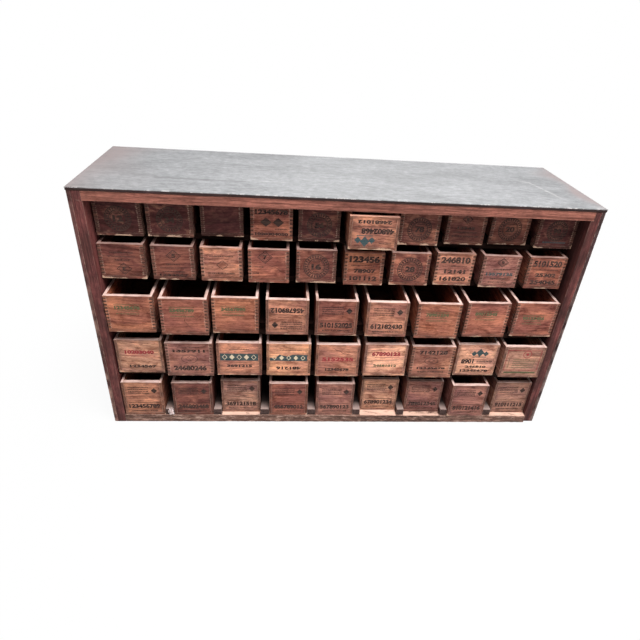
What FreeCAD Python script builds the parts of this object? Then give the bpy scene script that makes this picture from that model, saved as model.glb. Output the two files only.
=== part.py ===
import FreeCAD, Part
import os
import re
import Sketcher

# Parts cabinet: an open-fronted wooden case with five rows of loose wooden boxes as drawers.
# X runs across the front to the right, Y to the back and Z up, in millimetres.
# The origin is on the floor, under the middle of the whole cabinet.
# Rows are counted from the top and columns from the left.

doc = FreeCAD.newDocument("parts_cabinet")
sheet = doc.addObject("Spreadsheet::Sheet", "Sizes")
line_count = 0


def size(alias, value):
    """Write one size, or one formula of other sizes, in the sheet under its own name."""
    global line_count
    line_count += 1
    sheet.set(f"A{line_count}", alias)
    sheet.set(f"B{line_count}", str(value))
    sheet.setAlias(f"B{line_count}", alias)
    return line_count


# The driving sizes
SIZES = {
    # Boards of the case
    "skin_thickness": 8,
    "upright_thickness": 19.5,
    "top_board_thickness": 20,
    "bottom_board_thickness": 22.5,
    "bottom_board_forward_at_right": 5,
    "shelf_thickness": 12.7,
    "back_board_thickness": 9,
    "back_board_seam": 0.5,
    "shelf_groove_depth": 6,
    "top_let_in_left": 1.5,
    "top_let_in_right": 6.5,
    "underlay_thickness": 4.8,
    "underlay_overhang": 0.8,
    "top_sheet_thickness": 1.5,
    "top_sheet_overhang": 1.6,
    "top_front_overhang": 1,
    # How far the shelves' front edges lie behind the front of the case
    "upper_shelf_setback": 58,
    "lower_shelf_setback": 17,
    # Running room of the drawers
    "side_clearance": 1.2,
    "wall_clearance": 2.5,
    "room_behind": 8.5,
    "guide_height": 18,
    # Nails in the back
    "nail_length": 32,
    "nail_shank_radius": 1.3,
    "nail_head_radius": 2.8,
    "nail_head_thickness": 1.2,
    "nail_head_proud": 0.4,
    "nail_point_length": 4,
    # Boards of the boxes
    "box_bottom_thickness": 6,
    "fingered_end_thickness": 9.5,
    "fingered_side_thickness": 6.5,
    "plain_end_thickness": 11,
    "plain_side_thickness": 6,
    # Outer sizes of the eight kinds of box
    "length_small": 270,
    "length_large": 298,
    "width_small_wide": 94,
    "width_small": 89,
    "width_small_plain": 105,
    "width_large": 103.5,
    "width_large_narrow": 97,
    "width_large_plain": 105.5,
    "width_large_wide": 107.5,
    "width_tall": 96,
    "height_small_wide": 79,
    "small_drop": 1.2,
    "small_plain_drop": 6,
    "height_large_plain": 91.5,
    "large_drop": 0.7,
    "large_narrow_drop": 1.5,
    "height_tall": 100,
    # Fingers of the side boards at each corner of a box, counted up the corner
    "finger_count_small": 8,
    "finger_count_large": 10,
    # Head room over the tallest box of each row, and the mean gap between its boxes
    "head_room_1": 1.2,
    "head_room_2": 3.6,
    "head_room_3": 14.8,
    "head_room_4": 14.8,
    "head_room_5": 14.4,
    "box_gap_1": 13.5,
    "box_gap_2": 15.5,
    "box_gap_3": 16,
    "box_gap_4": 10.5,
    "box_gap_5": 22,
}
for alias, number in SIZES.items():
    size(alias, number)
size("height_small", "=height_small_wide - small_drop")
size("height_small_plain", "=height_small_wide - small_plain_drop")
size("height_large", "=height_large_plain - large_drop")
size("height_large_narrow", "=height_large_plain - large_narrow_drop")
size("height_large_wide", "=height_large_plain")

# Each kind of box: its length, its count of fingers, and whether its corners are fingered
FINGERED = {
    "small_wide": ("length_small", "finger_count_small"),
    "small": ("length_small", "finger_count_small"),
    "large": ("length_large", "finger_count_large"),
    "large_wide": ("length_large", "finger_count_large"),
}
PLAIN = {
    "small_plain": "length_large",
    "large_narrow": "length_large",
    "large_plain": "length_large",
    "tall": "length_large",
}

# The boards across the back, and the nails of each shelf's line
BACK_BOARD_COUNT = 5
NAILS_PER_SHELF = 5

# The kinds of box in each row, from left to right
ROWS = {
    1: 2 * ["small_wide"] + 3 * ["small"] + ["small_plain"] + 4 * ["small"],
    2: ["small_wide"] + 9 * ["small"],
    3: 3 * ["large"] + 3 * ["large_narrow"] + 3 * ["large"],
    4: ["large_plain", "large_wide"] + 4 * ["large_plain"] + ["large_wide"] + 2 * ["large_plain"],
    5: 9 * ["tall"],
}

# How far each box stands out in front of the case
DRAWN_OUT = {
    1: (-30, -32, -44.5, -31, -35, 3.5, -32, -45.5, -53.5, -40),
    2: (-23.5, -24, -23.5, -21.5, -27, -22, -27, -33, -27.5, -27),
    3: (5, 12.5, 2.5, 4.5, 5, 6.5, 10, 0.5, -5),
    4: (-5, 6, 2, 2, 3.5, -0.5, 5.5, -6, 2),
    5: (-0.5, 0.5, -11.5, 1, 0.5, -20, -13.5, 4, -10.5),
}

# How far each box stands to the right of its place in an even row
ASIDE = {
    1: (1.5, -3.5, -3, -1, -2, -0.5, -5.5, 0, 1.5, 2.5),
    2: (-3.5, -5, -7, -9.5, -9.5, -8, -7, -7, -5, -1),
    3: (1, -1, -9, -8.5, -9, -4.5, -1, -0.5, 1),
    4: (2, 0.5, -1.5, -0.5, 1.5, 3.5, 2, 1, 2),
    5: (1, 2.5, 1.5, 3, 3, 2, 0.5, -1.5, 0.5),
}

# Floors of the rows, built up from the bottom board, and the height of the case's boards
CLEAR_HEIGHT = {
    5: "height_tall + head_room_5",
    4: "height_large_plain + head_room_4",
    3: "height_large_plain + head_room_3",
    2: "height_small_wide + head_room_2",
    1: "height_small_wide + head_room_1",
}
size("floor_row_5", "=bottom_board_thickness")
for row in (4, 3, 2, 1):
    size(f"floor_row_{row}", f"=floor_row_{row + 1} + {CLEAR_HEIGHT[row + 1]} + shelf_thickness")
size("top_board_underside", f"=floor_row_1 + {CLEAR_HEIGHT[1]}")
size("board_height", "=top_board_underside + top_board_thickness")

# Widths across each row, and the case around the widest row
for row, kinds in ROWS.items():
    widths = " + ".join(f"width_{kind}" for kind in kinds)
    size(f"row_span_{row}", f"={widths} + {len(kinds) - 1} * box_gap_{row}")
spans = "; ".join(f"row_span_{row}" for row in ROWS)
size("inner_width", f"=max({spans}) + 2 * wall_clearance")
size("back_width", "=inner_width + 2 * upright_thickness")
size("case_width", "=back_width + 2 * skin_thickness")

# The place of each box: its centre, how far it is drawn out, and how far back its end reaches
for row, kinds in ROWS.items():
    previous = None
    for column, kind in enumerate(kinds, start=1):
        box = f"r{row}_c{column}"
        if previous is None:
            even = f"=-row_span_{row} / 2 + width_{kind} / 2"
        else:
            before, kind_before = previous
            even = f"=even_{before} + (width_{kind_before} + width_{kind}) / 2 + box_gap_{row}"
        size(f"even_{box}", even)
        size(f"aside_{box}", ASIDE[row][column - 1])
        size(f"centre_{box}", f"=even_{box} + aside_{box}")
        previous = (box, kind)
boxes = [(f"r{row}_c{column}", kind)
         for row, kinds in ROWS.items() for column, kind in enumerate(kinds, start=1)]
lengths = {kind: length for kind, (length, fingers) in FINGERED.items()}
lengths.update(PLAIN)
out_lines = [size(f"out_{box}", out) for (box, kind), out in zip(boxes, sum(DRAWN_OUT.values(), ()))]
back_lines = [size(f"reach_{box}", f"={lengths[kind]} - out_{box}") for box, kind in boxes]
size("inner_depth", f"=max(B{back_lines[0]}:B{back_lines[-1]}) + room_behind")
size("case_depth", "=inner_depth + back_board_thickness")
size("farthest_out", f"=max(B{out_lines[0]}:B{out_lines[-1]}; bottom_board_forward_at_right)")
size("case_front", "=-(case_depth + nail_head_proud - farthest_out) / 2")

# Finger sizes
for kind, (length, fingers) in FINGERED.items():
    walls = f"height_{kind} - box_bottom_thickness"
    size(f"finger_{kind}", f"=({walls}) / (2 * round({fingers}) + 1)")
doc.recompute()


def aliased(formula):
    """The formula with each of the sheet's names written in full, as the document wants it."""
    return re.sub(r"[a-z]\w+", lambda word: word[0] if word[0] == "round" else f"Sizes.{word[0]}", formula)


def bind(thing, path, formula):
    """Tie one property to a formula of the sheet's names."""
    thing.setExpression(path, aliased(formula))


def value(formula):
    """The present number of a formula, for a sketch's first drawing."""
    return float(sheet.evalExpression(aliased(formula)))


def place(thing, x="0", y="0", z="0"):
    """Put a piece at a place that is worked out from the sheet."""
    for axis, formula in (("x", x), ("y", y), ("z", z)):
        if formula != "0":
            bind(thing, f".Placement.Base.{axis}", formula)
    return thing


def board(name, length, depth, height, x="0", y="0", z="0"):
    """A plain sawn board: length along X, depth along Y and height along Z."""
    piece = doc.addObject("Part::Box", name)
    bind(piece, "Length", length)
    bind(piece, "Width", depth)
    bind(piece, "Height", height)
    return place(piece, x, y, z)


def group(name, pieces):
    """One node that holds several separate solids."""
    node = doc.addObject("Part::Compound", name)
    node.Links = pieces
    return node


def origin_part(body, role):
    """A plane or axis of a body's own origin."""
    return next(part for part in body.Origin.OriginFeatures if part.Role == role)


def flat_sketch(body, name, height="0"):
    """A sketch on the body's level plane, raised by a height."""
    sketch = body.newObject("Sketcher::SketchObject", name)
    sketch.AttachmentSupport = [(origin_part(body, "XY_Plane"), "")]
    sketch.MapMode = "FlatFace"
    if height != "0":
        bind(sketch, ".AttachmentOffset.Base.z", height)
    return sketch


def outline(sketch, name, corners):
    """Draw a closed outline whose corners are tied to formulas, each one zero or positive."""
    first = sketch.GeometryCount
    count = len(corners)
    numbers = [FreeCAD.Vector(value(x), value(y), 0) for x, y in corners]
    for side in range(count):
        ends = (numbers[side], numbers[(side + 1) % count])
        sketch.addGeometry(Part.LineSegment(*ends), False)
    for side in range(count):
        following = first + (side + 1) % count
        sketch.addConstraint(Sketcher.Constraint("Coincident", first + side, 2, following, 1))
    for corner, (x, y) in enumerate(corners):
        for kind, axis, formula in (("DistanceX", -2, x), ("DistanceY", -1, y)):
            if formula == "0":
                sketch.addConstraint(Sketcher.Constraint("PointOnObject", first + corner, 1, axis))
                continue
            rule = Sketcher.Constraint(kind, -1, 1, first + corner, 1, value(formula))
            index = sketch.addConstraint(rule)
            label = f"{name}_{corner}_{kind[-1].lower()}"
            sketch.renameConstraint(index, label)
            bind(sketch, f"Constraints.{label}", formula)


def rectangle(x, y, width, depth):
    """The four corners of a rectangle as formulas, from its near left corner."""
    right = width if x == "0" else f"{x} + {width}"
    far = depth if y == "0" else f"{y} + {depth}"
    return [(x, y), (right, y), (right, far), (x, far)]


def pad(body, sketch, height):
    """Raise a sketch into a board."""
    raised = body.newObject("PartDesign::Pad", f"{body.Name}_blank")
    raised.Profile = sketch
    bind(raised, "Length", height)
    body.Tip = raised
    return raised


def cut(body, sketch, height, name):
    """Cut upward from a sketch into a board."""
    doc.recompute()
    pocket = body.newObject("PartDesign::Pocket", name)
    pocket.Profile = sketch
    pocket.Reversed = True
    bind(pocket, "Length", height)
    body.Tip = pocket
    return pocket


def new_body(name):
    return doc.addObject("PartDesign::Body", name)


def fingered_board(name, kind, length, depth, notch_length, notch_depth, along_x, notches, lowest):
    """A board with a row of notches up both ends, into which the next boards' fingers fit."""
    body = new_body(name)
    blank = flat_sketch(body, f"{name}_plan")
    outline(blank, "plan", rectangle("0", "0", length, depth))
    pad(body, blank, f"height_{kind} - box_bottom_thickness")
    notch = flat_sketch(body, f"{name}_notch_plan", lowest)
    outline(notch, "near", rectangle("0", "0", notch_length, notch_depth))
    if along_x:
        far = rectangle(f"{length} - {notch_length}", "0", notch_length, notch_depth)
        far[1] = (length, "0")
        far[2] = (length, notch_depth)
    else:
        far = rectangle("0", f"{depth} - {notch_depth}", notch_length, notch_depth)
        far[2] = (notch_length, depth)
        far[3] = ("0", depth)
    outline(notch, "far", far)
    first = cut(body, notch, f"finger_{kind}", f"{name}_notch")
    doc.recompute()
    notched = body.newObject("PartDesign::LinearPattern", f"{name}_notches")
    notched.Originals = [first]
    notched.Direction = (origin_part(body, "Z_Axis"), [""])
    bind(notched, "Length", f"2 * finger_{kind} * ({notches} - 1)")
    bind(notched, "Occurrences", notches)
    body.Tip = notched
    return body


def fingered_box(kind, length, fingers):
    """The five boards of a box whose corners are finger-jointed. Its origin is under its front."""
    width = f"width_{kind}"
    end = "fingered_end_thickness"
    side = "fingered_side_thickness"
    front_and_back = []
    for name, y in (("front_board", "0"), ("back_board", f"{length} - {end}")):
        piece = fingered_board(f"{kind}_{name}", kind, width, end, side, end, True,
                               f"round({fingers})", f"finger_{kind}")
        front_and_back.append(place(piece, f"-{width} / 2", y, "box_bottom_thickness"))
    sides = []
    for name, x in (("left_board", f"-{width} / 2"), ("right_board", f"{width} / 2 - {side}")):
        piece = fingered_board(f"{kind}_{name}", kind, side, length, side, end, False,
                               f"(round({fingers}) + 1)", "0")
        sides.append(place(piece, x, "0", "box_bottom_thickness"))
    bottom = board(f"{kind}_bottom_board", width, length, "box_bottom_thickness", f"-{width} / 2")
    return front_and_back + sides + [bottom]


def plain_box(kind, length):
    """The five boards of a box whose sides lap over the ends of its front and back."""
    width = f"width_{kind}"
    end = "plain_end_thickness"
    side = "plain_side_thickness"
    walls = f"height_{kind} - box_bottom_thickness"
    between = f"{width} - 2 * {side}"
    inside = f"-{width} / 2 + {side}"
    base = "box_bottom_thickness"
    return [
        board(f"{kind}_front_board", between, end, walls, inside, "0", base),
        board(f"{kind}_back_board", between, end, walls, inside, f"{length} - {end}", base),
        board(f"{kind}_left_board", side, length, walls, f"-{width} / 2", "0", base),
        board(f"{kind}_right_board", side, length, walls, f"{width} / 2 - {side}", "0", base),
        board(f"{kind}_bottom_board", width, length, base, f"-{width} / 2"),
    ]


def drawers():
    """One node for each box in the case, standing where it was left."""
    boards = {kind: fingered_box(kind, *facts) for kind, facts in FINGERED.items()}
    boards.update({kind: plain_box(kind, length) for kind, length in PLAIN.items()})
    nodes = []
    for box, kind in boxes:
        row = box[1]
        node = group(f"drawer_{box}", boards[kind])
        nodes.append(place(node, f"centre_{box}", f"case_front - out_{box}", f"floor_row_{row}"))
    return nodes


def upright(name, inner_on_right, let_in, x):
    """An upright board with a groove for each shelf and a rebate for the top board."""
    body = new_body(name)
    thickness = "upright_thickness"
    blank = flat_sketch(body, f"{name}_plan")
    outline(blank, "plan", rectangle("0", "0", thickness, "inner_depth"))
    pad(body, blank, "board_height")

    def cut_strip(label, depth, setback, bottom, height):
        if inner_on_right:
            near, far = f"{thickness} - {depth}", thickness
        else:
            near, far = "0", depth
        strip = flat_sketch(body, f"{name}_{label}_plan", bottom)
        outline(strip, label, [(near, setback), (far, setback), (far, "inner_depth"),
                               (near, "inner_depth")])
        cut(body, strip, height, f"{name}_{label}")

    for row, setback in SHELVES.items():
        cut_strip(f"groove_{row}", "shelf_groove_depth", setback,
                  f"floor_row_{row} - shelf_thickness", "shelf_thickness")
    cut_strip("rebate", let_in, "0", "top_board_underside", "top_board_thickness")
    return place(body, x, "case_front", "0")


# Each shelf is named by the row that stands on it, with how far it is set back
SHELVES = {
    1: "upper_shelf_setback",
    2: "upper_shelf_setback",
    3: "lower_shelf_setback",
    4: "lower_shelf_setback",
}


def shelf(row):
    """A shelf whose ends sit in the grooves of the uprights."""
    setback = SHELVES[row]
    return board(f"shelf_{row}", "inner_width + 2 * shelf_groove_depth", f"inner_depth - {setback}",
                 "shelf_thickness", "-inner_width / 2 - shelf_groove_depth",
                 f"case_front + {setback}", f"floor_row_{row} - shelf_thickness")


def guides():
    """The strips that keep the boxes of a row apart, each as wide as its gap allows."""
    strips = []
    for row, kinds in ROWS.items():
        setback = SHELVES.get(row)
        depth = f"inner_depth - {setback}" if setback else "inner_depth"
        y = f"case_front + {setback}" if setback else "case_front"
        for column in range(1, len(kinds)):
            left, right = f"r{row}_c{column}", f"r{row}_c{column + 1}"
            left_edge = f"centre_{left} + width_{kinds[column - 1]} / 2"
            right_edge = f"centre_{right} - width_{kinds[column]} / 2"
            strips.append(board(f"guide_{left}", f"{right_edge} - ({left_edge}) - 2 * side_clearance",
                                depth, "guide_height", f"{left_edge} + side_clearance", y,
                                f"floor_row_{row}"))
    return group("drawer_guides", strips)


def bottom_board():
    """The bottom board, whose rough front edge comes forward at its right end."""
    body = new_body("bottom_board")
    plan = flat_sketch(body, "bottom_board_plan")
    forward = "bottom_board_forward_at_right"
    back = f"{forward} + inner_depth"
    outline(plan, "plan", [("0", forward), ("inner_width", "0"), ("inner_width", back), ("0", back)])
    pad(body, plan, "bottom_board_thickness")
    return place(body, "-inner_width / 2", f"case_front - {forward}", "0")


def back_boards():
    """Boards laid across the back, between the outer skins."""
    pitch = f"board_height / {BACK_BOARD_COUNT}"
    boards = []
    for number in range(BACK_BOARD_COUNT):
        boards.append(board(f"back_board_{number + 1}", "back_width", "back_board_thickness",
                            f"{pitch} - back_board_seam", "-back_width / 2",
                            "case_front + inner_depth", f"{number} * {pitch}"))
    return group("back_boards", boards)


def nail_shape():
    """One nail along Y, with its point at the origin and its head at the far end."""
    body = new_body("nail")
    sketch = flat_sketch(body, "nail_section")
    shoulder = "nail_length - nail_head_thickness"
    outline(sketch, "section", [
        ("0", "0"),
        ("nail_shank_radius", "nail_point_length"),
        ("nail_shank_radius", shoulder),
        ("nail_head_radius", shoulder),
        ("nail_head_radius", "nail_length"),
        ("0", "nail_length"),
    ])
    turned = body.newObject("PartDesign::Revolution", "nail_turned")
    turned.Profile = sketch
    turned.ReferenceAxis = (sketch, ["V_Axis"])
    turned.Angle = 360
    body.Tip = turned
    return body


def nails():
    """Nails through the back boards: two in each end, and a line into each board they cross."""
    nail = nail_shape()
    upright_line = "inner_width / 2 + upright_thickness / 2"
    spots = []
    quarter, three_quarters = 0.25, 0.75
    for number in range(BACK_BOARD_COUNT):
        for x in (f"-({upright_line})", upright_line):
            for share in (quarter, three_quarters):
                spots.append((x, f"board_height * {number + share} / {BACK_BOARD_COUNT}"))
    levels = ["bottom_board_thickness / 2", "board_height - top_board_thickness / 2"]
    levels += [f"floor_row_{row} - shelf_thickness / 2" for row in SHELVES]
    for level in levels:
        for number in range(NAILS_PER_SHELF):
            steps = number - (NAILS_PER_SHELF - 1) / 2
            spots.append((f"inner_width * {steps} / {NAILS_PER_SHELF}", level))
    driven = []
    for number, (x, z) in enumerate(spots, start=1):
        copy = doc.addObject("App::Link", f"nail_{number}")
        copy.LinkedObject = nail
        driven.append(place(copy, x, "case_front + case_depth + nail_head_proud - nail_length", z))
    return group("case_nails", driven)


def case():
    """The case, piece by piece."""
    half = "case_width / 2"
    front = "case_front"
    underlay_side = "underlay_overhang"
    sheet_side = "top_sheet_overhang"
    return [
        upright("left_side_board", True, "top_let_in_left", "-inner_width / 2 - upright_thickness"),
        upright("right_side_board", False, "top_let_in_right", "inner_width / 2"),
        board("left_side_skin", "skin_thickness", "case_depth", "board_height", f"-{half}", front),
        board("right_side_skin", "skin_thickness", "case_depth", "board_height",
              f"{half} - skin_thickness", front),
        board("top_board", "inner_width + top_let_in_left + top_let_in_right", "inner_depth",
              "top_board_thickness", "-inner_width / 2 - top_let_in_left", front,
              "top_board_underside"),
        board("top_underlay", f"case_width + 2 * {underlay_side}", "case_depth + top_front_overhang",
              "underlay_thickness", f"-{half} - {underlay_side}", f"{front} - top_front_overhang",
              "board_height"),
        board("top_sheet", f"case_width + 2 * {sheet_side}", "case_depth + top_front_overhang",
              "top_sheet_thickness", f"-{half} - {sheet_side}", f"{front} - top_front_overhang",
              "board_height + underlay_thickness"),
        bottom_board(),
        group("shelves_upper", [shelf(1), shelf(2)]),
        group("shelves_lower", [shelf(3), shelf(4)]),
        guides(),
        back_boards(),
        nails(),
    ]


nodes = case() + drawers()
doc.recompute()

for thing in doc.Objects:
    if "Invalid" in thing.State or "Error" in thing.State:
        raise RuntimeError(f"{thing.Label} is not built: {thing.State}")
for node in nodes:
    if node.Shape.isNull() or not node.Shape.isValid():
        raise RuntimeError(f"{node.Label} has no valid shape")

os.makedirs("parts", exist_ok=True)
for node in nodes:
    node.Shape.exportStep(f"parts/{node.Label}.step")
print(len(nodes), "nodes,", sum(len(node.Shape.Solids) for node in nodes), "solids")
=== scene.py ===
import math
import random

import bmesh
import bpy
from mathutils import Matrix, Vector, noise


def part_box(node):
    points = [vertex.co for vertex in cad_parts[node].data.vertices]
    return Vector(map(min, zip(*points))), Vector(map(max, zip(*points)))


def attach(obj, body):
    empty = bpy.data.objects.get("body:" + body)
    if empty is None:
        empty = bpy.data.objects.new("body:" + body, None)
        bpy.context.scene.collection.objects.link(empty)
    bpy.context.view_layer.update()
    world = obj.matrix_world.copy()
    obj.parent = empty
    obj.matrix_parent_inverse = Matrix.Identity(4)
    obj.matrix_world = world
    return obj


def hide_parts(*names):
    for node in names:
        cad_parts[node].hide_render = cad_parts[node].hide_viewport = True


# The finish of an old parts cabinet: an open case of dark boards with forty-seven small wooden
# boxes as drawers. X runs to the right across the front, Y to the back and Z up, in metres.
# Rows are counted from the top and columns from the left.

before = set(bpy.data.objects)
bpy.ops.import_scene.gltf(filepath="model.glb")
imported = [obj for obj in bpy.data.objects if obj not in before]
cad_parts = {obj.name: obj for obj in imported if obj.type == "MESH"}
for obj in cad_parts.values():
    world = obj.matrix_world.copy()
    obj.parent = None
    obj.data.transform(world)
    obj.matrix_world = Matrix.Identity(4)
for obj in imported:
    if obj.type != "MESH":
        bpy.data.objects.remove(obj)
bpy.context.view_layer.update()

MM = 0.001
X_AXIS, Y_AXIS, Z_AXIS = 0, 1, 2
CASE_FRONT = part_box("left_side_skin")[0].y
SHEET_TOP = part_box("top_sheet")[1].z

# The kinds of box in each row
ROWS = {
    1: 2 * ["small_wide"] + 3 * ["small"] + ["small_plain"] + 4 * ["small"],
    2: ["small_wide"] + 9 * ["small"],
    3: 3 * ["large"] + 3 * ["large_narrow"] + 3 * ["large"],
    4: ["large_plain", "large_wide"] + 4 * ["large_plain"] + ["large_wide"] + 2 * ["large_plain"],
    5: 9 * ["tall"],
}
BOXES = [(row, column, kind) for row, kinds in ROWS.items()
         for column, kind in enumerate(kinds, start=1)]

# Fingers at each corner of the finger-jointed kinds, and the boards' thicknesses
FINGER_COUNT = {"small_wide": 8, "small": 8, "large": 10, "large_wide": 10}
BOX_BOTTOM = 6 * MM
FINGERED_END = 9.5 * MM
FINGERED_SIDE = 6.5 * MM
PLAIN_END = 11 * MM
PLAIN_SIDE = 6 * MM


# Small helpers for node trees

def add_node(tree, kind, values=None, **settings):
    """Add a node, set its options, and set or link its inputs."""
    made = tree.nodes.new(kind)
    for name, setting in settings.items():
        setattr(made, name, setting)
    for key, value in (values or {}).items():
        socket = made.inputs[key]
        if isinstance(value, bpy.types.NodeSocket):
            tree.links.new(value, socket)
        else:
            socket.default_value = value
    return made


def maths(tree, operation, first, second=0.0, third=0.0):
    """The result of a Math node."""
    made = add_node(tree, "ShaderNodeMath", {0: first, 1: second, 2: third}, operation=operation)
    return made.outputs[0]


def times(tree, first, second):
    """The product of two values."""
    return maths(tree, "MULTIPLY", first, second)


def fade(tree, value, low, high, start=0.0, end=1.0):
    """A smooth step of a value from start at low to end at high."""
    made = add_node(tree, "ShaderNodeMapRange", {"Value": value, "From Min": low, "From Max": high,
                                                 "To Min": start, "To Max": end},
                    interpolation_type="SMOOTHSTEP")
    return made.outputs[0]


def mix(tree, share, first, second, blend="MIX"):
    """Mix two colours."""
    colour_a, colour_b, result = 6, 7, 2
    made = add_node(tree, "ShaderNodeMix", {0: share, colour_a: first, colour_b: second},
                    data_type="RGBA", blend_type=blend)
    return made.outputs[result]


def tint(tree, share, colour, by):
    """Multiply a colour by another, as far as the share says."""
    return mix(tree, share, colour, by, "MULTIPLY")


def scaled(tree, place, along, across, depth):
    """Stretch a place by three scales."""
    made = add_node(tree, "ShaderNodeVectorMath", {0: place, 1: (along, across, depth)},
                    operation="MULTIPLY")
    return made.outputs[0]


def speckle(tree, place, scale=1.0, detail=4.0, roughness=0.55, distortion=0.0):
    """Noise from 0 to 1."""
    made = add_node(tree, "ShaderNodeTexNoise", {"Vector": place, "Scale": scale, "Detail": detail,
                                                 "Roughness": roughness, "Distortion": distortion})
    return made.outputs[0]


def attribute(tree, name, output="Fac"):
    """What a mesh says about itself at a place."""
    made = add_node(tree, "ShaderNodeAttribute", attribute_name=name)
    return made.outputs[output]


def new_group(name, inputs, outputs):
    """A shader node group with named sockets. Returns it with its input and output nodes."""
    group = bpy.data.node_groups.new(name, "ShaderNodeTree")
    for socket_name, kind in inputs:
        group.interface.new_socket(socket_name, in_out="INPUT", socket_type=kind)
    for socket_name, kind in outputs:
        group.interface.new_socket(socket_name, in_out="OUTPUT", socket_type=kind)
    return group, group.nodes.new("NodeGroupInput"), group.nodes.new("NodeGroupOutput")


def grain_and_wear(tree, place):
    """The results of both groups on wood whose mesh says where its edges and margins are."""
    grain = add_node(tree, "ShaderNodeGroup", {"Place": place}, node_tree=GRAIN)
    wear = add_node(tree, "ShaderNodeGroup",
                    {"Place": place, "Edge": attribute(tree, "edge"), "Margin": attribute(tree, "margin")},
                    node_tree=WEAR)
    return grain.outputs, wear.outputs


def new_material(name):
    """A material with its shader, ready for a group's results."""
    material = bpy.data.materials.new(name)
    material.use_nodes = True
    tree = material.node_tree
    return material, tree, tree.nodes["Principled BSDF"]


def set_surface(tree, shader, colour, roughness, gloss, height=None, relief=0.0):
    """Give a shader its colour, roughness and gloss, and bumps of a height up to the relief."""
    tree.links.new(colour, shader.inputs["Base Color"])
    tree.links.new(roughness, shader.inputs["Roughness"])
    shader.inputs["Specular IOR Level"].default_value = gloss
    if height:
        bump = add_node(tree, "ShaderNodeBump", {"Height": height, "Distance": relief})
        tree.links.new(bump.outputs[0], shader.inputs["Normal"])


VECTOR, FLOAT = "NodeSocketVector", "NodeSocketFloat"


def grain_group():
    """Long wood grain: a broad figure, fine fibres and short dark pores."""
    group, given, result = new_group(
        "wood_grain", [("Place", VECTOR)],
        [("Figure", FLOAT), ("Fibre", FLOAT), ("Pores", FLOAT), ("Stain", FLOAT)])
    place = given.outputs["Place"]
    figure = speckle(group, scaled(group, place, 7, 230, 230), detail=6, roughness=0.72, distortion=0.5)
    fibre = speckle(group, scaled(group, place, 42, 520, 520), detail=5, roughness=0.75)
    pores = fade(group, speckle(group, scaled(group, place, 95, 1500, 1500), detail=1), 0.6, 0.7)
    stain = speckle(group, scaled(group, place, 22, 48, 48), detail=7, roughness=0.7, distortion=0.5)
    for name, value in (("Figure", figure), ("Fibre", fibre), ("Pores", pores), ("Stain", stain)):
        group.links.new(value, result.inputs[name])
    return group


def wear_group():
    """Masks for wear on edges and for grime along margins, both in patches."""
    group, given, result = new_group(
        "wear_and_grime", [("Place", VECTOR), ("Edge", FLOAT), ("Margin", FLOAT)],
        [("Worn", FLOAT), ("Grime", FLOAT)])
    place = given.outputs["Place"]
    patches = speckle(group, scaled(group, place, 55, 75, 75), detail=5, roughness=0.7)
    worn = times(group, given.outputs["Edge"], fade(group, patches, 0.36, 0.6))
    smears = speckle(group, scaled(group, place, 22, 40, 40), detail=5, roughness=0.7)
    grime = times(group, given.outputs["Margin"], fade(group, smears, 0.3, 0.62))
    group.links.new(worn, result.inputs["Worn"])
    group.links.new(grime, result.inputs["Grime"])
    return group


GRAIN = grain_group()
WEAR = wear_group()


def rgb(red, green, blue):
    """An opaque colour."""
    return (red, green, blue, 1.0)


# Finishes

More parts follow.
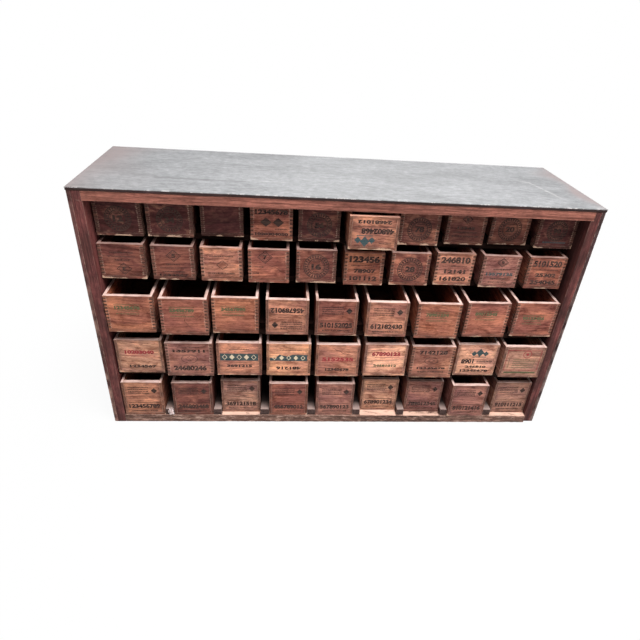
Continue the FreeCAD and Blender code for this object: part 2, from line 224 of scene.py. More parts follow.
def boxwood():
    """Bare sawn boxwood, darkened by handling, with pale rims that carry a painted highlight, dark end
    grain, and painted light and shade on its insides and outer sides, lighter near the front and darker
    towards the back.
    """
    material, tree, shader = new_material("aged_boxwood")
    place = attribute(tree, "grain_place", "Vector")
    grain, wear = grain_and_wear(tree, place)
    end_grain, rim, deep = (attribute(tree, name) for name in ("end_grain", "rim", "deep"))

    # The box's own tone, redder or yellower in clouds, with bands of grain and stains
    clouds = speckle(tree, scaled(tree, place, 10, 24, 24), detail=3)
    cast = mix(tree, fade(tree, clouds, 0.36, 0.64), rgb(0.78, 0.71, 0.77), rgb(1.18, 1.16, 1.07))
    colour = tint(tree, 1.0, attribute(tree, "tone", "Color"), cast)
    bands = mix(tree, fade(tree, grain["Figure"], 0.36, 0.64), rgb(0.7, 0.61, 0.6), rgb(1.3, 1.27, 1.24))
    colour = tint(tree, 1.0, colour, bands)
    colour = tint(tree, fade(tree, grain["Stain"], 0.48, 0.68), colour, rgb(0.48, 0.38, 0.37))
    pale = mix(tree, 0.16, tint(tree, 1.0, colour, rgb(1.85, 1.6, 1.4)), rgb(0.72, 0.42, 0.25))
    blotch = times(tree, attribute(tree, "blotch"), fade(tree, grain["Stain"], 0.5, 0.36))
    colour = mix(tree, blotch, colour, pale)

    # Fibres, flecks and pores
    colour = tint(tree, 1.0, colour, fade(tree, grain["Fibre"], 0.25, 0.75, 0.62, 1.28))
    flecks = speckle(tree, scaled(tree, place, 85, 300, 300), detail=4, roughness=0.65)
    colour = tint(tree, fade(tree, flecks, 0.54, 0.7), colour, rgb(0.5, 0.42, 0.42))
    colour = mix(tree, times(tree, grain["Pores"], 0.5), colour, rgb(0.06, 0.025, 0.015))

    # Dark end grain. Painted light and shade: the insides are lighter near the front, and the insides and
    # outer sides grow darker towards the back of the case, where shade falls
    end = mix(tree, fade(tree, grain["Fibre"], 0.35, 0.7), rgb(0.05, 0.02, 0.013), rgb(0.13, 0.06, 0.04))
    end = mix(tree, end_grain, colour, end)
    colour = mix(tree, fade(tree, end_grain, 0.0, 0.5), colour, end)
    for face, near, far in (("inside", rgb(1.5, 1.32, 1.16), rgb(0.26, 0.18, 0.17)),
                            ("flank", rgb(0.78, 0.68, 0.65), rgb(0.2, 0.14, 0.14))):
        colour = tint(tree, attribute(tree, face), colour, mix(tree, deep, near, far))

    # Rims: pale bare wood with a painted highlight from the light above, and nearly as brown as the box
    # where painted shade falls on them, in the upper rows and towards the back of the case
    bare_lit_rim = mix(tree, fade(tree, grain["Stain"], 0.4, 0.66), rgb(0.66, 0.48, 0.43), rgb(0.4, 0.25, 0.21))
    bare_lit_rim = tint(tree, 1.0, bare_lit_rim, fade(tree, grain["Fibre"], 0.3, 0.7, 0.78, 1.12))
    shaded_rim = mix(tree, 0.2, colour, bare_lit_rim)
    rim_light_and_shade = tint(tree, deep, mix(tree, attribute(tree, "rim_shade"), bare_lit_rim, shaded_rim), rgb(0.4, 0.32, 0.3))
    colour = mix(tree, rim, colour, rim_light_and_shade)

    # Grime in the corners, worn edges and bare chips
    grime = times(tree, wear["Grime"], maths(tree, "SUBTRACT", 1.0, rim))
    colour = mix(tree, times(tree, grime, 0.66), colour, rgb(0.05, 0.026, 0.02))
    worn = times(tree, wear["Worn"], fade(tree, end_grain, 0.5, 1.0, 0.75, 0.2))
    colour = mix(tree, worn, colour, rgb(0.6, 0.4, 0.3))
    crumbs = speckle(tree, scaled(tree, place, 380, 620, 620), detail=3, roughness=0.6)
    chipped = maths(tree, "MULTIPLY_ADD", crumbs, 1.5,
                    maths(tree, "SUBTRACT", attribute(tree, "chipped"), 1.0))
    colour = mix(tree, fade(tree, chipped, 0.2, 0.6, 0.0, 0.8), colour, rgb(0.6, 0.4, 0.28))

    height = maths(tree, "MULTIPLY_ADD", grain["Fibre"], 0.6, grain["Figure"])
    height = maths(tree, "MULTIPLY_ADD", grain["Pores"], -0.5, height)
    set_surface(tree, shader, colour, fade(tree, grain["Stain"], 0.3, 0.7, 0.62, 0.85), 0.18,
                height, 0.35 * MM)
    return material


def case_wood(name, dark, light, worn, grime_share=0.6, contrast=1.0, gloss=0.13, mottled=0.0):
    """A board of the case: stained or grimy wood with pale scuffs along its edges, and painted shade where
    its mesh marks it deep.
    """
    material, tree, shader = new_material(name)
    place = attribute(tree, "grain_place", "Vector")
    grain, wear = grain_and_wear(tree, place)
    colour = mix(tree, fade(tree, grain["Figure"], 0.32, 0.68), dark, light)
    colour = mix(tree, fade(tree, grain["Stain"], 0.5, 0.7, 0.0, 0.6), colour, dark)
    fibres = fade(tree, grain["Fibre"], 0.25, 0.75, 1 - 0.28 * contrast, 1 + 0.2 * contrast)
    colour = tint(tree, 1.0, colour, fibres)
    colour = mix(tree, times(tree, grain["Pores"], 0.55), colour, rgb(0.015, 0.008, 0.006))
    if mottled:
        spots = speckle(tree, scaled(tree, place, 50, 170, 170), detail=6, roughness=0.75)
        colour = mix(tree, fade(tree, spots, 0.5, 0.64, 0.0, mottled), colour, worn)
        colour = mix(tree, fade(tree, spots, 0.46, 0.36, 0.0, mottled), colour, dark)
    colour = tint(tree, attribute(tree, "end_grain"), colour, rgb(0.6, 0.55, 0.52))

    # Bare strips; a pale cover of dust, nibbles and, on the guides' tops, a painted highlight; worn and
    # chipped edges; grime; and what the mesh marks deep: painted shade towards the back of the case, and the
    # dark seams of the back boards
    worn_share = maths(tree, "MAXIMUM", times(tree, wear["Worn"], 0.6),
                       fade(tree, attribute(tree, "chipped"), 0.1, 0.6, 0.0, 0.9))
    bare_share = times(tree, attribute(tree, "bare"), fade(tree, grain["Stain"], 0.66, 0.5))
    for share, covering in ((bare_share, rgb(0.68, 0.44, 0.34)),
                            (times(tree, attribute(tree, "wear_dust_and_highlight"), 0.6), worn),
                            (worn_share, worn),
                            (times(tree, wear["Grime"], grime_share), rgb(0.02, 0.012, 0.01)),
                            (times(tree, attribute(tree, "deep"), 0.97), rgb(0.004, 0.002, 0.002))):
        colour = mix(tree, share, colour, covering)
    height = maths(tree, "MULTIPLY_ADD", grain["Fibre"], 0.7, grain["Figure"])
    set_surface(tree, shader, colour, fade(tree, grain["Stain"], 0.3, 0.7, 0.5, 0.8), gloss,
                height, 0.4 * MM)
    return material


def near_line(tree, place, start, end, width):
    """1 on the line between two places on the top, fading to 0 a width away from it."""
    start, end = Vector((*start, SHEET_TOP)), Vector((*end, SHEET_TOP))
    offset = add_node(tree, "ShaderNodeVectorMath", {0: place, 1: start}, operation="SUBTRACT")
    way = (end - start).normalized()
    along = add_node(tree, "ShaderNodeVectorMath", {0: offset.outputs[0], 1: way},
                     operation="DOT_PRODUCT").outputs["Value"]
    along = maths(tree, "MINIMUM", maths(tree, "MAXIMUM", along, 0.0), (end - start).length)
    foot = add_node(tree, "ShaderNodeVectorMath", {0: way, "Scale": along}, operation="SCALE")
    away = add_node(tree, "ShaderNodeVectorMath", {0: offset.outputs[0], 1: foot.outputs[0]},
                    operation="DISTANCE")
    return fade(tree, away.outputs["Value"], 0.0, width, 1.0, 0.0)


# Marks on the top sheet: each one's two ends across and back, and its width
DARK_STREAKS = [((-0.395, -0.068), (-0.29, -0.074), 9 * MM),
                ((-0.3, -0.073), (-0.21, -0.071), 7 * MM),
                ((0.035, -0.06), (0.07, -0.078), 6 * MM)]
PALE_SCRATCHES = [((0.43, 0.035), (0.455, 0.022), 5 * MM),
                  ((0.455, 0.022), (0.47, -0.04), 4 * MM),
                  ((0.47, -0.04), (0.482, -0.09), 6 * MM),
                  ((-0.19, -0.064), (-0.13, -0.066), 4 * MM)]


def grey_sheet():
    """The dull grey metal sheet on top: fine mottle, long streaks, pits, brown ends, nicked front."""
    material, tree, shader = new_material("scuffed_grey_sheet")
    place = add_node(tree, "ShaderNodeTexCoord").outputs["Object"]
    mottle = speckle(tree, scaled(tree, place, 55, 90, 90), detail=9, roughness=0.8)
    clouds = speckle(tree, scaled(tree, place, 5, 10, 10), detail=6, roughness=0.6, distortion=0.8)
    streaks = speckle(tree, scaled(tree, place, 5, 80, 80), detail=7, roughness=0.7, distortion=0.4)
    pits = fade(tree, speckle(tree, place, scale=190, detail=2), 0.68, 0.74)
    scratches = fade(tree, speckle(tree, scaled(tree, place, 12, 700, 700), detail=2), 0.66, 0.74)
    colour = mix(tree, fade(tree, mottle, 0.3, 0.7), rgb(0.135, 0.137, 0.141), rgb(0.27, 0.272, 0.277))
    colour = tint(tree, 1.0, colour, fade(tree, clouds, 0.3, 0.7, 0.84, 1.14))
    colour = tint(tree, 1.0, colour, fade(tree, streaks, 0.3, 0.7, 0.93, 1.06))
    colour = mix(tree, times(tree, scratches, 0.22), colour, rgb(0.42, 0.42, 0.42))
    colour = mix(tree, times(tree, pits, 0.45), colour, rgb(0.1, 0.09, 0.092))
    brown = times(tree, attribute(tree, "brown_end"), fade(tree, mottle, 0.3, 0.65, 0.5, 1.0))
    colour = mix(tree, brown, colour, rgb(0.22, 0.17, 0.165))

    # Single marks, whose lines wander a little
    ripple = add_node(tree, "ShaderNodeTexNoise", {"Vector": place, "Scale": 60.0}).outputs[1]
    wander = add_node(tree, "ShaderNodeVectorMath", {0: ripple, 1: (0.008, 0.008, 0.0), 2: place},
                      operation="MULTIPLY_ADD").outputs[0]
    for marks, mark_colour, strength in ((DARK_STREAKS, rgb(0.085, 0.08, 0.082), 0.5),
                                         (PALE_SCRATCHES, rgb(0.42, 0.41, 0.4), 0.45)):
        for start, end, width in marks:
            share = times(tree, near_line(tree, wander, start, end, width), strength)
            share = times(tree, share, fade(tree, mottle, 0.35, 0.6, 0.35, 1.0))
            colour = mix(tree, share, colour, mark_colour)
    nicked = fade(tree, speckle(tree, scaled(tree, place, 90, 60, 60), detail=4, roughness=0.7), 0.52, 0.6)
    colour = mix(tree, times(tree, times(tree, attribute(tree, "front_strip"), nicked), 0.8), colour,
                 rgb(0.5, 0.47, 0.46))
    height = maths(tree, "MULTIPLY_ADD", scratches, 0.3, mottle)
    set_surface(tree, shader, colour, fade(tree, mottle, 0.3, 0.7, 0.5, 0.72), 0.1, height, 0.15 * MM)
    return material


def rusty_steel():
    """Nail heads, dull with rust."""
    material, tree, shader = new_material("rusty_nail_steel")
    place = add_node(tree, "ShaderNodeTexCoord").outputs["Object"]
    rust = speckle(tree, place, scale=420, detail=5, roughness=0.7)
    colour = mix(tree, fade(tree, rust, 0.35, 0.65), rgb(0.07, 0.06, 0.058), rgb(0.19, 0.075, 0.035))
    set_surface(tree, shader, colour, fade(tree, rust, 0.3, 0.7, 0.45, 0.85), 0.5, rust, 0.2 * MM)
    shader.inputs["Metallic"].default_value = 0.6
    return material


def ink(name, colour, low, high):
    """Old printing ink that the wood's fibres show through. Low and high set how much is left."""
    material, tree, shader = new_material(name)
    place = add_node(tree, "ShaderNodeTexCoord").outputs["Object"]
    fibre = add_node(tree, "ShaderNodeGroup", {"Place": place}, node_tree=GRAIN).outputs["Fibre"]
    rubbed = speckle(tree, scaled(tree, place, 60, 150, 150), detail=5, roughness=0.75)
    left = times(tree, fade(tree, rubbed, low, high), fade(tree, fibre, 0.2, 0.55, 0.72, 1.0))
    tree.links.new(left, shader.inputs["Alpha"])
    paler = mix(tree, 0.3, colour, rgb(0.3, 0.16, 0.1))
    set_surface(tree, shader, mix(tree, fade(tree, fibre, 0.3, 0.8), colour, paler),
                fade(tree, rubbed, 0.2, 0.8, 0.7, 0.9), 0.2)
    return material


BOXWOOD = boxwood()
DARK_STAIN = case_wood("dark_stained_boards", rgb(0.05, 0.017, 0.018), rgb(0.17, 0.062, 0.06),
                       rgb(0.5, 0.31, 0.24))
UPRIGHT_STAIN = case_wood("reddish_uprights", rgb(0.085, 0.024, 0.024), rgb(0.25, 0.078, 0.07),
                          rgb(0.5, 0.31, 0.24))
# A darker copy of the skins' stain for the right skin: painted shade on the side away from the light
SHADED_SKIN_STAIN = case_wood("painted_shade_outer_board", rgb(0.022, 0.01, 0.012), rgb(0.075, 0.034, 0.036),
                            rgb(0.42, 0.29, 0.25))
RED_STAIN = case_wood("reddish_top_board", rgb(0.12, 0.038, 0.028), rgb(0.42, 0.16, 0.115),
                      rgb(0.6, 0.34, 0.26), 0.35, 1.3)
UNDERLAY_WOOD = case_wood("dark_underlay", rgb(0.012, 0.007, 0.007), rgb(0.05, 0.025, 0.025),
                          rgb(0.16, 0.1, 0.09))
# Near-black boards for the shelves and the upper guides: painted shade inside the case, where only shade
# falls
SHADE_BLACK_WOOD = case_wood("painted_shade_inner_boards", rgb(0.005, 0.0025, 0.002), rgb(0.016, 0.007, 0.006),
                      rgb(0.03, 0.014, 0.012), gloss=0.0)
GUIDE_WOOD = case_wood("grey_brown_guides", rgb(0.06, 0.034, 0.034), rgb(0.17, 0.11, 0.1),
                       rgb(0.42, 0.31, 0.275))
SILL_WOOD = case_wood("rough_bottom_board", rgb(0.045, 0.022, 0.018), rgb(0.36, 0.19, 0.14),
                      rgb(0.52, 0.34, 0.27), 0.6, 1.8, mottled=0.85)
SPLINTER_WOOD = case_wood("pale_split_wood", rgb(0.36, 0.26, 0.24), rgb(0.86, 0.72, 0.7),
                          rgb(0.8, 0.7, 0.66), 0.3, 1.6)
BACK_WOOD = case_wood("dusty_back_boards", rgb(0.09, 0.055, 0.038), rgb(0.25, 0.165, 0.11),
                      rgb(0.42, 0.3, 0.22))
SHEET_METAL = grey_sheet()
RUSTY_STEEL = rusty_steel()
INKS = {
    "black": ink("black_ink", rgb(0.014, 0.01, 0.012), 0.1, 0.3),
    "faint": ink("faint_black_ink", rgb(0.03, 0.02, 0.02), 0.24, 0.48),
    "green": ink("faded_green_ink", rgb(0.07, 0.085, 0.04), 0.2, 0.46),
    "red": ink("red_ink", rgb(0.28, 0.022, 0.034), 0.2, 0.46),
    "teal": ink("teal_ink", rgb(0.018, 0.055, 0.065), 0.22, 0.4),
    "chalk": ink("pale_ink", rgb(0.66, 0.55, 0.38), 0.2, 0.42),
    "split": ink("dark_split", rgb(0.02, 0.01, 0.008), 0.0, 0.2),
}


# Boards

def cut_places(low, high, step, near=2.0 * MM):
    """Places for cuts across a board: close to both ends, then evenly between."""
    places = [low + near, high - near]
    inner_low, inner_high = low + 2.6 * near, high - 2.6 * near
    if inner_high > inner_low:
        count = max(1, round((inner_high - inner_low) / step))
        places += [inner_low + (inner_high - inner_low) * part / count for part in range(count + 1)]
    return sorted(places)


def prism(profile, through, start, end):
    """A closed board as bmesh: a flat profile carried along one axis."""
    across, up = [axis for axis in (X_AXIS, Y_AXIS, Z_AXIS) if axis != through]
    bm = bmesh.new()
    rings = []
    for level in (start, end):
        ring = []
        for u, v in profile:
            place = [0.0, 0.0, 0.0]
            place[across], place[up], place[through] = u, v, level
            ring.append(bm.verts.new(place))
        rings.append(ring)
    count = len(profile)
    bm.faces.new(rings[0])
    bm.faces.new(rings[1])
    for corner in range(count):
        following = (corner + 1) % count
        bm.faces.new((rings[0][corner], rings[0][following], rings[1][following], rings[1][corner]))
    bmesh.ops.recalc_face_normals(bm, faces=bm.faces[:])
    return bm


def soften(bm, width, steps):
    """Round the outer edges, then cut the board into cells that can carry wear."""
    sharp = [edge for edge in bm.edges if len(edge.link_faces) == 2 and edge.is_convex
             and edge.calc_face_angle() > 0.5]
    bmesh.ops.bevel(bm, geom=sharp, offset=width, offset_type="OFFSET", segments=2, profile=0.6,
                    affect="EDGES", clamp_overlap=True)
    low = [min(vert.co[axis] for vert in bm.verts) for axis in range(3)]
    high = [max(vert.co[axis] for vert in bm.verts) for axis in range(3)]
    for axis, step in enumerate(steps):
        if not step:
            continue
        normal = Vector((0, 0, 0))
        normal[axis] = 1
        for place in cut_places(low[axis], high[axis], step):
            bmesh.ops.bisect_plane(bm, geom=bm.verts[:] + bm.edges[:] + bm.faces[:], dist=1e-6,
                                   plane_co=normal * place, plane_no=normal)
    return Vector(low), Vector(high)


class Timber:
    """Boards gathered into one mesh, with what the wood materials read from them."""

    POINT_MARKS = ("edge", "margin")
    FACE_MARKS = ("end_grain", "rim", "inside", "flank")
    ALIGNED = 0.7

    def __init__(self):
        self.places, self.normals, self.faces, self.grain = [], [], [], []
        self.marks = {name: [] for name in self.POINT_MARKS + self.FACE_MARKS}

    def add(self, bm, grain_axis, low, high, offset, rim=False, inside=None, end_darkness=1.0):
        """Take a board. Its grain runs along an axis, and inside names the way its inner face looks."""
        first = len(self.places)
        bm.verts.index_update()
        spans = [high[axis] - low[axis] for axis in range(3)]
        thin = spans.index(min(spans))
        others = [axis for axis in range(3) if axis != grain_axis]
        marks = self.marks
        for vert in bm.verts:
            self.places.append(vert.co.copy())
            self.normals.append(vert.normal.copy())
            on_edge = any(face.normal.dot(vert.link_faces[0].normal) < 0.9 for face in vert.link_faces)
            marks["edge"].append(1.0 if on_edge else 0.0)
            inward = [min(vert.co[axis] - low[axis], high[axis] - vert.co[axis])
                      for axis in range(3) if axis != thin]
            marks["margin"].append(math.exp(-max(0.0, min(inward)) / (5 * MM)))
            self.grain.append(Vector((vert.co[grain_axis], vert.co[others[0]], vert.co[others[1]]))
                              + offset)
        for face in bm.faces:
            self.faces.append([first + vert.index for vert in face.verts])
            normal = face.normal
            top = normal.z > self.ALIGNED and face.calc_center_median().z > high.z - 2 * MM
            inner = inside is not None and normal.dot(inside) > self.ALIGNED
            outer = (inside is not None and normal.dot(inside) < -self.ALIGNED
                     and normal.y > -self.ALIGNED)
            marks["end_grain"].append(end_darkness if abs(normal[grain_axis]) > self.ALIGNED else 0.0)
            marks["rim"].append(1.0 if rim and top else 0.0)
            marks["inside"].append(1.0 if inner else 0.0)
            marks["flank"].append(1.0 if outer else 0.0)
        bm.free()

    def mesh(self, name, places):
        """The boards as a mesh, with their points at the given places."""
        made = bpy.data.meshes.new(name)
        made.from_pydata(places, [], self.faces)
        write(made, "grain_place", self.grain, "POINT", "FLOAT_VECTOR")
        for mark, values in self.marks.items():
            write(made, mark, values, "POINT" if mark in self.POINT_MARKS else "FACE")
        return made


def write(mesh, name, values, domain="POINT", kind="FLOAT"):
    """Store one value for each point or face of a mesh."""
    layer = mesh.attributes.new(name, kind, domain)
    if kind == "FLOAT":
        layer.data.foreach_set("value", values)
    else:
        field = "vector" if kind == "FLOAT_VECTOR" else "color"
        layer.data.foreach_set(field, [number for value in values for number in value])


def show(mesh, name, materials):
    """Put a mesh in the scene as an object at the origin."""
    piece = bpy.data.objects.new(name, mesh)
    bpy.context.scene.collection.objects.link(piece)
    for material in materials:
        mesh.materials.append(material)
    return piece


def random_offset(numbers):
    """A shift that shows another part of the grain."""
    return Vector((numbers.uniform(-9, 9), numbers.uniform(-9, 9), numbers.uniform(-9, 9)))


# Boxes

def finger_edge(base, finger, count, outer, inner, outer_first):
    """The stepped end of a board, from its foot upward."""
    points = []
    for step in range(2 * count + 1):
        reach = outer if (step % 2 == 0) == outer_first else inner
        points += [(reach, base + step * finger), (reach, base + (step + 1) * finger)]
    return points


def fingered_profile(half, inner_half, middle, base, finger, count, outer_first):
    """A board with fingers at both ends, as a closed outline."""
    right = finger_edge(base, finger, count, middle + half, middle + inner_half, outer_first)
    left = finger_edge(base, finger, count, middle - half, middle - inner_half, outer_first)
    return right + left[::-1]


def rectangle(left, right, low, high):
    """A board's or a mark's plain outline."""
    return [(left, low), (right, low), (right, high), (left, high)]


def box_timber(kind, width, length, height, numbers):
    """The five boards of one kind of box. The origin is under the middle of its front."""
    half, base = width / 2, BOX_BOTTOM
    fine, coarse = 4.5 * MM, 9 * MM
    if kind in FINGER_COUNT:
        count = FINGER_COUNT[kind]
        finger = (height - base) / (2 * count + 1)
        end, side = FINGERED_END, FINGERED_SIDE
        softness, end_darkness = 0.35 * MM, 0.95
        front = fingered_profile(half, half - side, 0, base, finger, count, True)
        flank = fingered_profile(length / 2, length / 2 - end, length / 2, base, finger, count, False)
    else:
        end, side = PLAIN_END, PLAIN_SIDE
        softness, end_darkness = 0.5 * MM, 0.4
        front = rectangle(-half + side, half - side, base, height)
        flank = rectangle(0, length, base, height)

    # Each board's profile, the span it is carried over, its grain, its cuts and its inward way
    boards = [(front, Y_AXIS, 0, end, X_AXIS, (fine, 0, fine), (0, 1, 0)),
              (front, Y_AXIS, length - end, length, X_AXIS, (coarse, 0, coarse), (0, -1, 0)),
              (flank, X_AXIS, -half, -half + side, Y_AXIS, (0, coarse, coarse), (1, 0, 0)),
              (flank, X_AXIS, half - side, half, Y_AXIS, (0, coarse, coarse), (-1, 0, 0)),
              (rectangle(-half, half, 0, length), Z_AXIS, 0, base, X_AXIS, (fine, coarse, fine),
               (0, 0, 1))]
    timber = Timber()
    for profile, through, start, stop, grain_axis, cuts, inward in boards:
        bm = prism(profile, through, start, stop)
        low, high = soften(bm, softness, cuts)
        timber.add(bm, grain_axis, low, high, random_offset(numbers), through != Z_AXIS,
                   Vector(inward), end_darkness)
    return timber


def clamp(value, most=1.0):
    """A value held between 0 and the most."""
    return min(most, max(0.0, value))


def chip_depth(place, strength):
    """How much wood is gone from an edge at a place: mostly nothing, here and there a chip."""
    broad = noise.noise(place * 62)
    small = noise.noise(place * 240)
    return strength * (max(0.0, broad - 0.12) * 2.2 + max(0.0, small - 0.1) * 0.7)


def edge_chips(place, half, height, front_chips):
    """How deep chips may be on a box's edge: deepest low on its front and near the corners there."""
    if place.y < 2 * MM and place.z < BOX_BOTTOM + 3 * MM:
        return front_chips * (1 + 1.5 * math.exp(-(half - abs(place.x)) / (7 * MM)))
    return (0.8 if place.z > height - 2 * MM else 0.45) * MM


def bared_share(place, half, front_chips, offset):
    """How bare a box's front is at a place, in nibbles along its foot and at its lower corners."""
    if place.y >= 3 * MM:
        return 0.0
    lowness = math.exp(-place.z / (2.6 * MM))
    corner = math.exp(-(half - abs(place.x)) / (3 * MM) - place.z / (9 * MM))
    nibbled = (noise.noise((place + offset) * 60) + 0.22) * 3.4 * front_chips / (2.6 * MM)
    return min(1.0, max(0.0, nibbled * (lowness + 0.8 * corner)))


def worn_places(timber, shift, height, front_chips, numbers):
    """A box's corners, moved to its place and worn back along its edges, and how bare each is."""
    offset = random_offset(numbers)
    half = max(place.x for place in timber.places)
    deepest_chip, unevenness = 2.8 * MM, 0.05 * MM
    places, bared = [], []
    for place, normal, edge in zip(timber.places, timber.normals, timber.marks["edge"]):
        depth = unevenness * (1 + noise.noise((place + offset) * 40))
        if edge:
            chips = edge_chips(place, half, height, front_chips)
            depth += min(deepest_chip, chip_depth(place + offset, chips))
        places.append(place - normal * depth + shift)
        bared.append(bared_share(place, half, front_chips, offset))
    return places, bared


# Tones of the boxes' wood, by name
TONES = {
    "ginger": (0.36, 0.145, 0.09),
    "amber": (0.36, 0.17, 0.112),
    "russet": (0.28, 0.107, 0.075),
    "chestnut": (0.185, 0.07, 0.053),
    "umber": (0.18, 0.072, 0.054),
    "cocoa": (0.082, 0.025, 0.024),
    "mauve": (0.31, 0.145, 0.118),
    "bright": (0.62, 0.32, 0.195),
    "pale": (0.68, 0.375, 0.265),
    "drab": (0.48, 0.265, 0.185),
    "dun": (0.34, 0.19, 0.145),
    "pink": (0.4, 0.187, 0.13),
}

# How deep the chips along the boxes' lower front edges are in each row
CHIPPED = {1: 2.6 * MM, 2: 2.4 * MM, 3: 1.5 * MM, 4: 1.6 * MM, 5: 1.2 * MM}

# How far back the boxes' sides keep their own colour, and over what length painted shade darkens them
# towards the back
LIT_DEPTH, LIT_FADE = 35 * MM, 90 * MM

# How far each row's rims are browned by painted shade, from 0 to 1, most in the top rows under the top board
ROW_RIM_SHADE = {1: 1.0, 2: 0.6, 3: 0.1, 4: 0.1, 5: 0.15}

# How each box looks: its tone, and how blotched it is from 0 to 1
BOX_LOOKS = {
    1: [("cocoa", 0.9), ("cocoa", 1.0), ("cocoa", 0.3), ("russet", 0.7), ("cocoa", 0.8),
        ("amber", 0.8), ("umber", 0.9), ("umber", 0.4), ("umber", 0.6), ("cocoa", 0.6)],
    2: [("chestnut", 0.4), ("chestnut", 0.2), ("pink", 1.0), ("russet", 0.7), ("chestnut", 0.6),
        ("ginger", 0.4), ("chestnut", 0.9), ("pink", 0.5), ("mauve", 0.2), ("russet", 0.9)],
    3: [("ginger", 0.6), ("russet", 0.3), ("ginger", 0.3), ("pink", 0.6), ("russet", 0.3),
        ("pink", 0.4), ("ginger", 0.2), ("russet", 0.5), ("russet", 0.5)],
    4: [("drab", 0.7), ("mauve", 0.5), ("pink", 0.6), ("bright", 0.5), ("pink", 0.5),
        ("pale", 0.2), ("amber", 0.4), ("pale", 0.0), ("dun", 0.4)],
    5: [("amber", 0.7), ("chestnut", 0.5), ("dun", 0.7), ("russet", 0.1), ("mauve", 0.5),
        ("drab", 0.4), ("mauve", 0.4), ("mauve", 0.2), ("dun", 0.5)],
}


def add_boxes():
    """One dressed box for each drawer."""
    timbers = {}
    for row, column, kind in BOXES:
        name, node = f"box_r{row}_c{column}", f"drawer_r{row}_c{column}"
        numbers = random.Random(f"box {row} {column}")
        low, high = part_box(node)
        size = high - low
        if kind not in timbers:
            timbers[kind] = box_timber(kind, size.x, size.y, size.z, random.Random(kind))
        timber = timbers[kind]
        shift = Vector(((low.x + high.x) / 2, low.y, low.z))
        places, bared = worn_places(timber, shift, size.z, CHIPPED[row], numbers)
        mesh = timber.mesh(name, places)
        offset = random_offset(numbers)
        slope = numbers.uniform(-0.12, 0.12)
        mesh.attributes["grain_place"].data.foreach_set(
            "vector", [number for value in timber.grain
                       for number in value + offset + Vector((0, 0, slope * value.x))])
        tone, blotch = BOX_LOOKS[row][column - 1]
        shade = numbers.uniform(0.93, 1.07)
        colour = [part * shade for part in TONES[tone]] + [1.0]
        count = len(places)
        write(mesh, "tone", [colour] * count, kind="FLOAT_COLOR")
        write(mesh, "chipped", bared)
        write(mesh, "blotch", [blotch] * count)
        # Painted shade on the rims, row by row
        write(mesh, "rim_shade", [ROW_RIM_SHADE[row]] * count)
        # Painted shade: the box's sides darken towards the back of the case
        write(mesh, "deep", [clamp((place.y - LIT_DEPTH) / LIT_FADE) for place in timber.places])
        piece = show(mesh, name, [BOXWOOD])
        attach(piece, name)
        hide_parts(node)


# Nails and splinters

NAIL_RADIUS, NAIL_SUNK, NAIL_PROUD = 1.4 * MM, 0.4 * MM, 0.12 * MM


def nail_heads_tree():
    """Geometry nodes that put a low domed nail head on each point, facing as the point says."""
    tree = bpy.data.node_groups.new("nail heads", "GeometryNodeTree")
    for name, kind in (("Geometry", "NodeSocketGeometry"), ("Head Radius", FLOAT),
                       ("Head Height", FLOAT), ("Rim Share", FLOAT), ("Material", "NodeSocketMaterial")):
        tree.interface.new_socket(name, in_out="INPUT", socket_type=kind)
    tree.interface.new_socket("Geometry", in_out="OUTPUT", socket_type="NodeSocketGeometry")
    given = tree.nodes.new("NodeGroupInput").outputs
    head = add_node(tree, "GeometryNodeMeshCone",
                    {"Vertices": 10, "Radius Top": times(tree, given["Head Radius"], given["Rim Share"]),
                     "Radius Bottom": given["Head Radius"], "Depth": given["Head Height"]})
    facing = add_node(tree, "GeometryNodeInputNamedAttribute", {"Name": "facing"},
                      data_type="FLOAT_VECTOR")
    turn = add_node(tree, "FunctionNodeAlignRotationToVector", {"Vector": facing.outputs[0]}, axis="Z")
    worn = add_node(tree, "FunctionNodeRandomValue", {2: 0.82, 3: 1.08, "Seed": 7}, data_type="FLOAT")
    wide = add_node(tree, "ShaderNodeCombineXYZ", {0: worn.outputs[1], 1: worn.outputs[1], 2: 1.0})
    heads = add_node(tree, "GeometryNodeInstanceOnPoints",
                     {"Points": given["Geometry"], "Instance": head.outputs[0],
                      "Rotation": turn.outputs[0], "Scale": wide.outputs[0]})
    real = add_node(tree, "GeometryNodeRealizeInstances", {"Geometry": heads.outputs[0]})
    finished = add_node(tree, "GeometryNodeSetMaterial",
                        {"Geometry": real.outputs[0], "Material": given["Material"]})
    result = tree.nodes.new("NodeGroupOutput")
    tree.links.new(finished.outputs[0], result.inputs[0])
    return tree


def nail_places(kind, half, length, height):
    """Where a box's nails are and which way they face, from under the middle of its front.

    Those in its bottom are driven flush, so that they clear the shelf."""
    places = []
    flush = 1.05 * NAIL_PROUD
    down = Vector((0, 0, -1))
    for side in (-1, 1):
        inward = side * (half - PLAIN_SIDE / 2)
        for share in (0.12, 0.5, 0.88):
            places.append((Vector((inward, share * length, flush)), down))
        for end in (PLAIN_END / 2, length - PLAIN_END / 2):
            places.append((Vector((side * 0.4 * half, end, flush)), down))
            if kind not in FINGER_COUNT:
                for share in (0.2, 0.52, 0.84):
                    places.append((Vector((side * half, end, share * height)), Vector((side, 0, 0))))
    return places


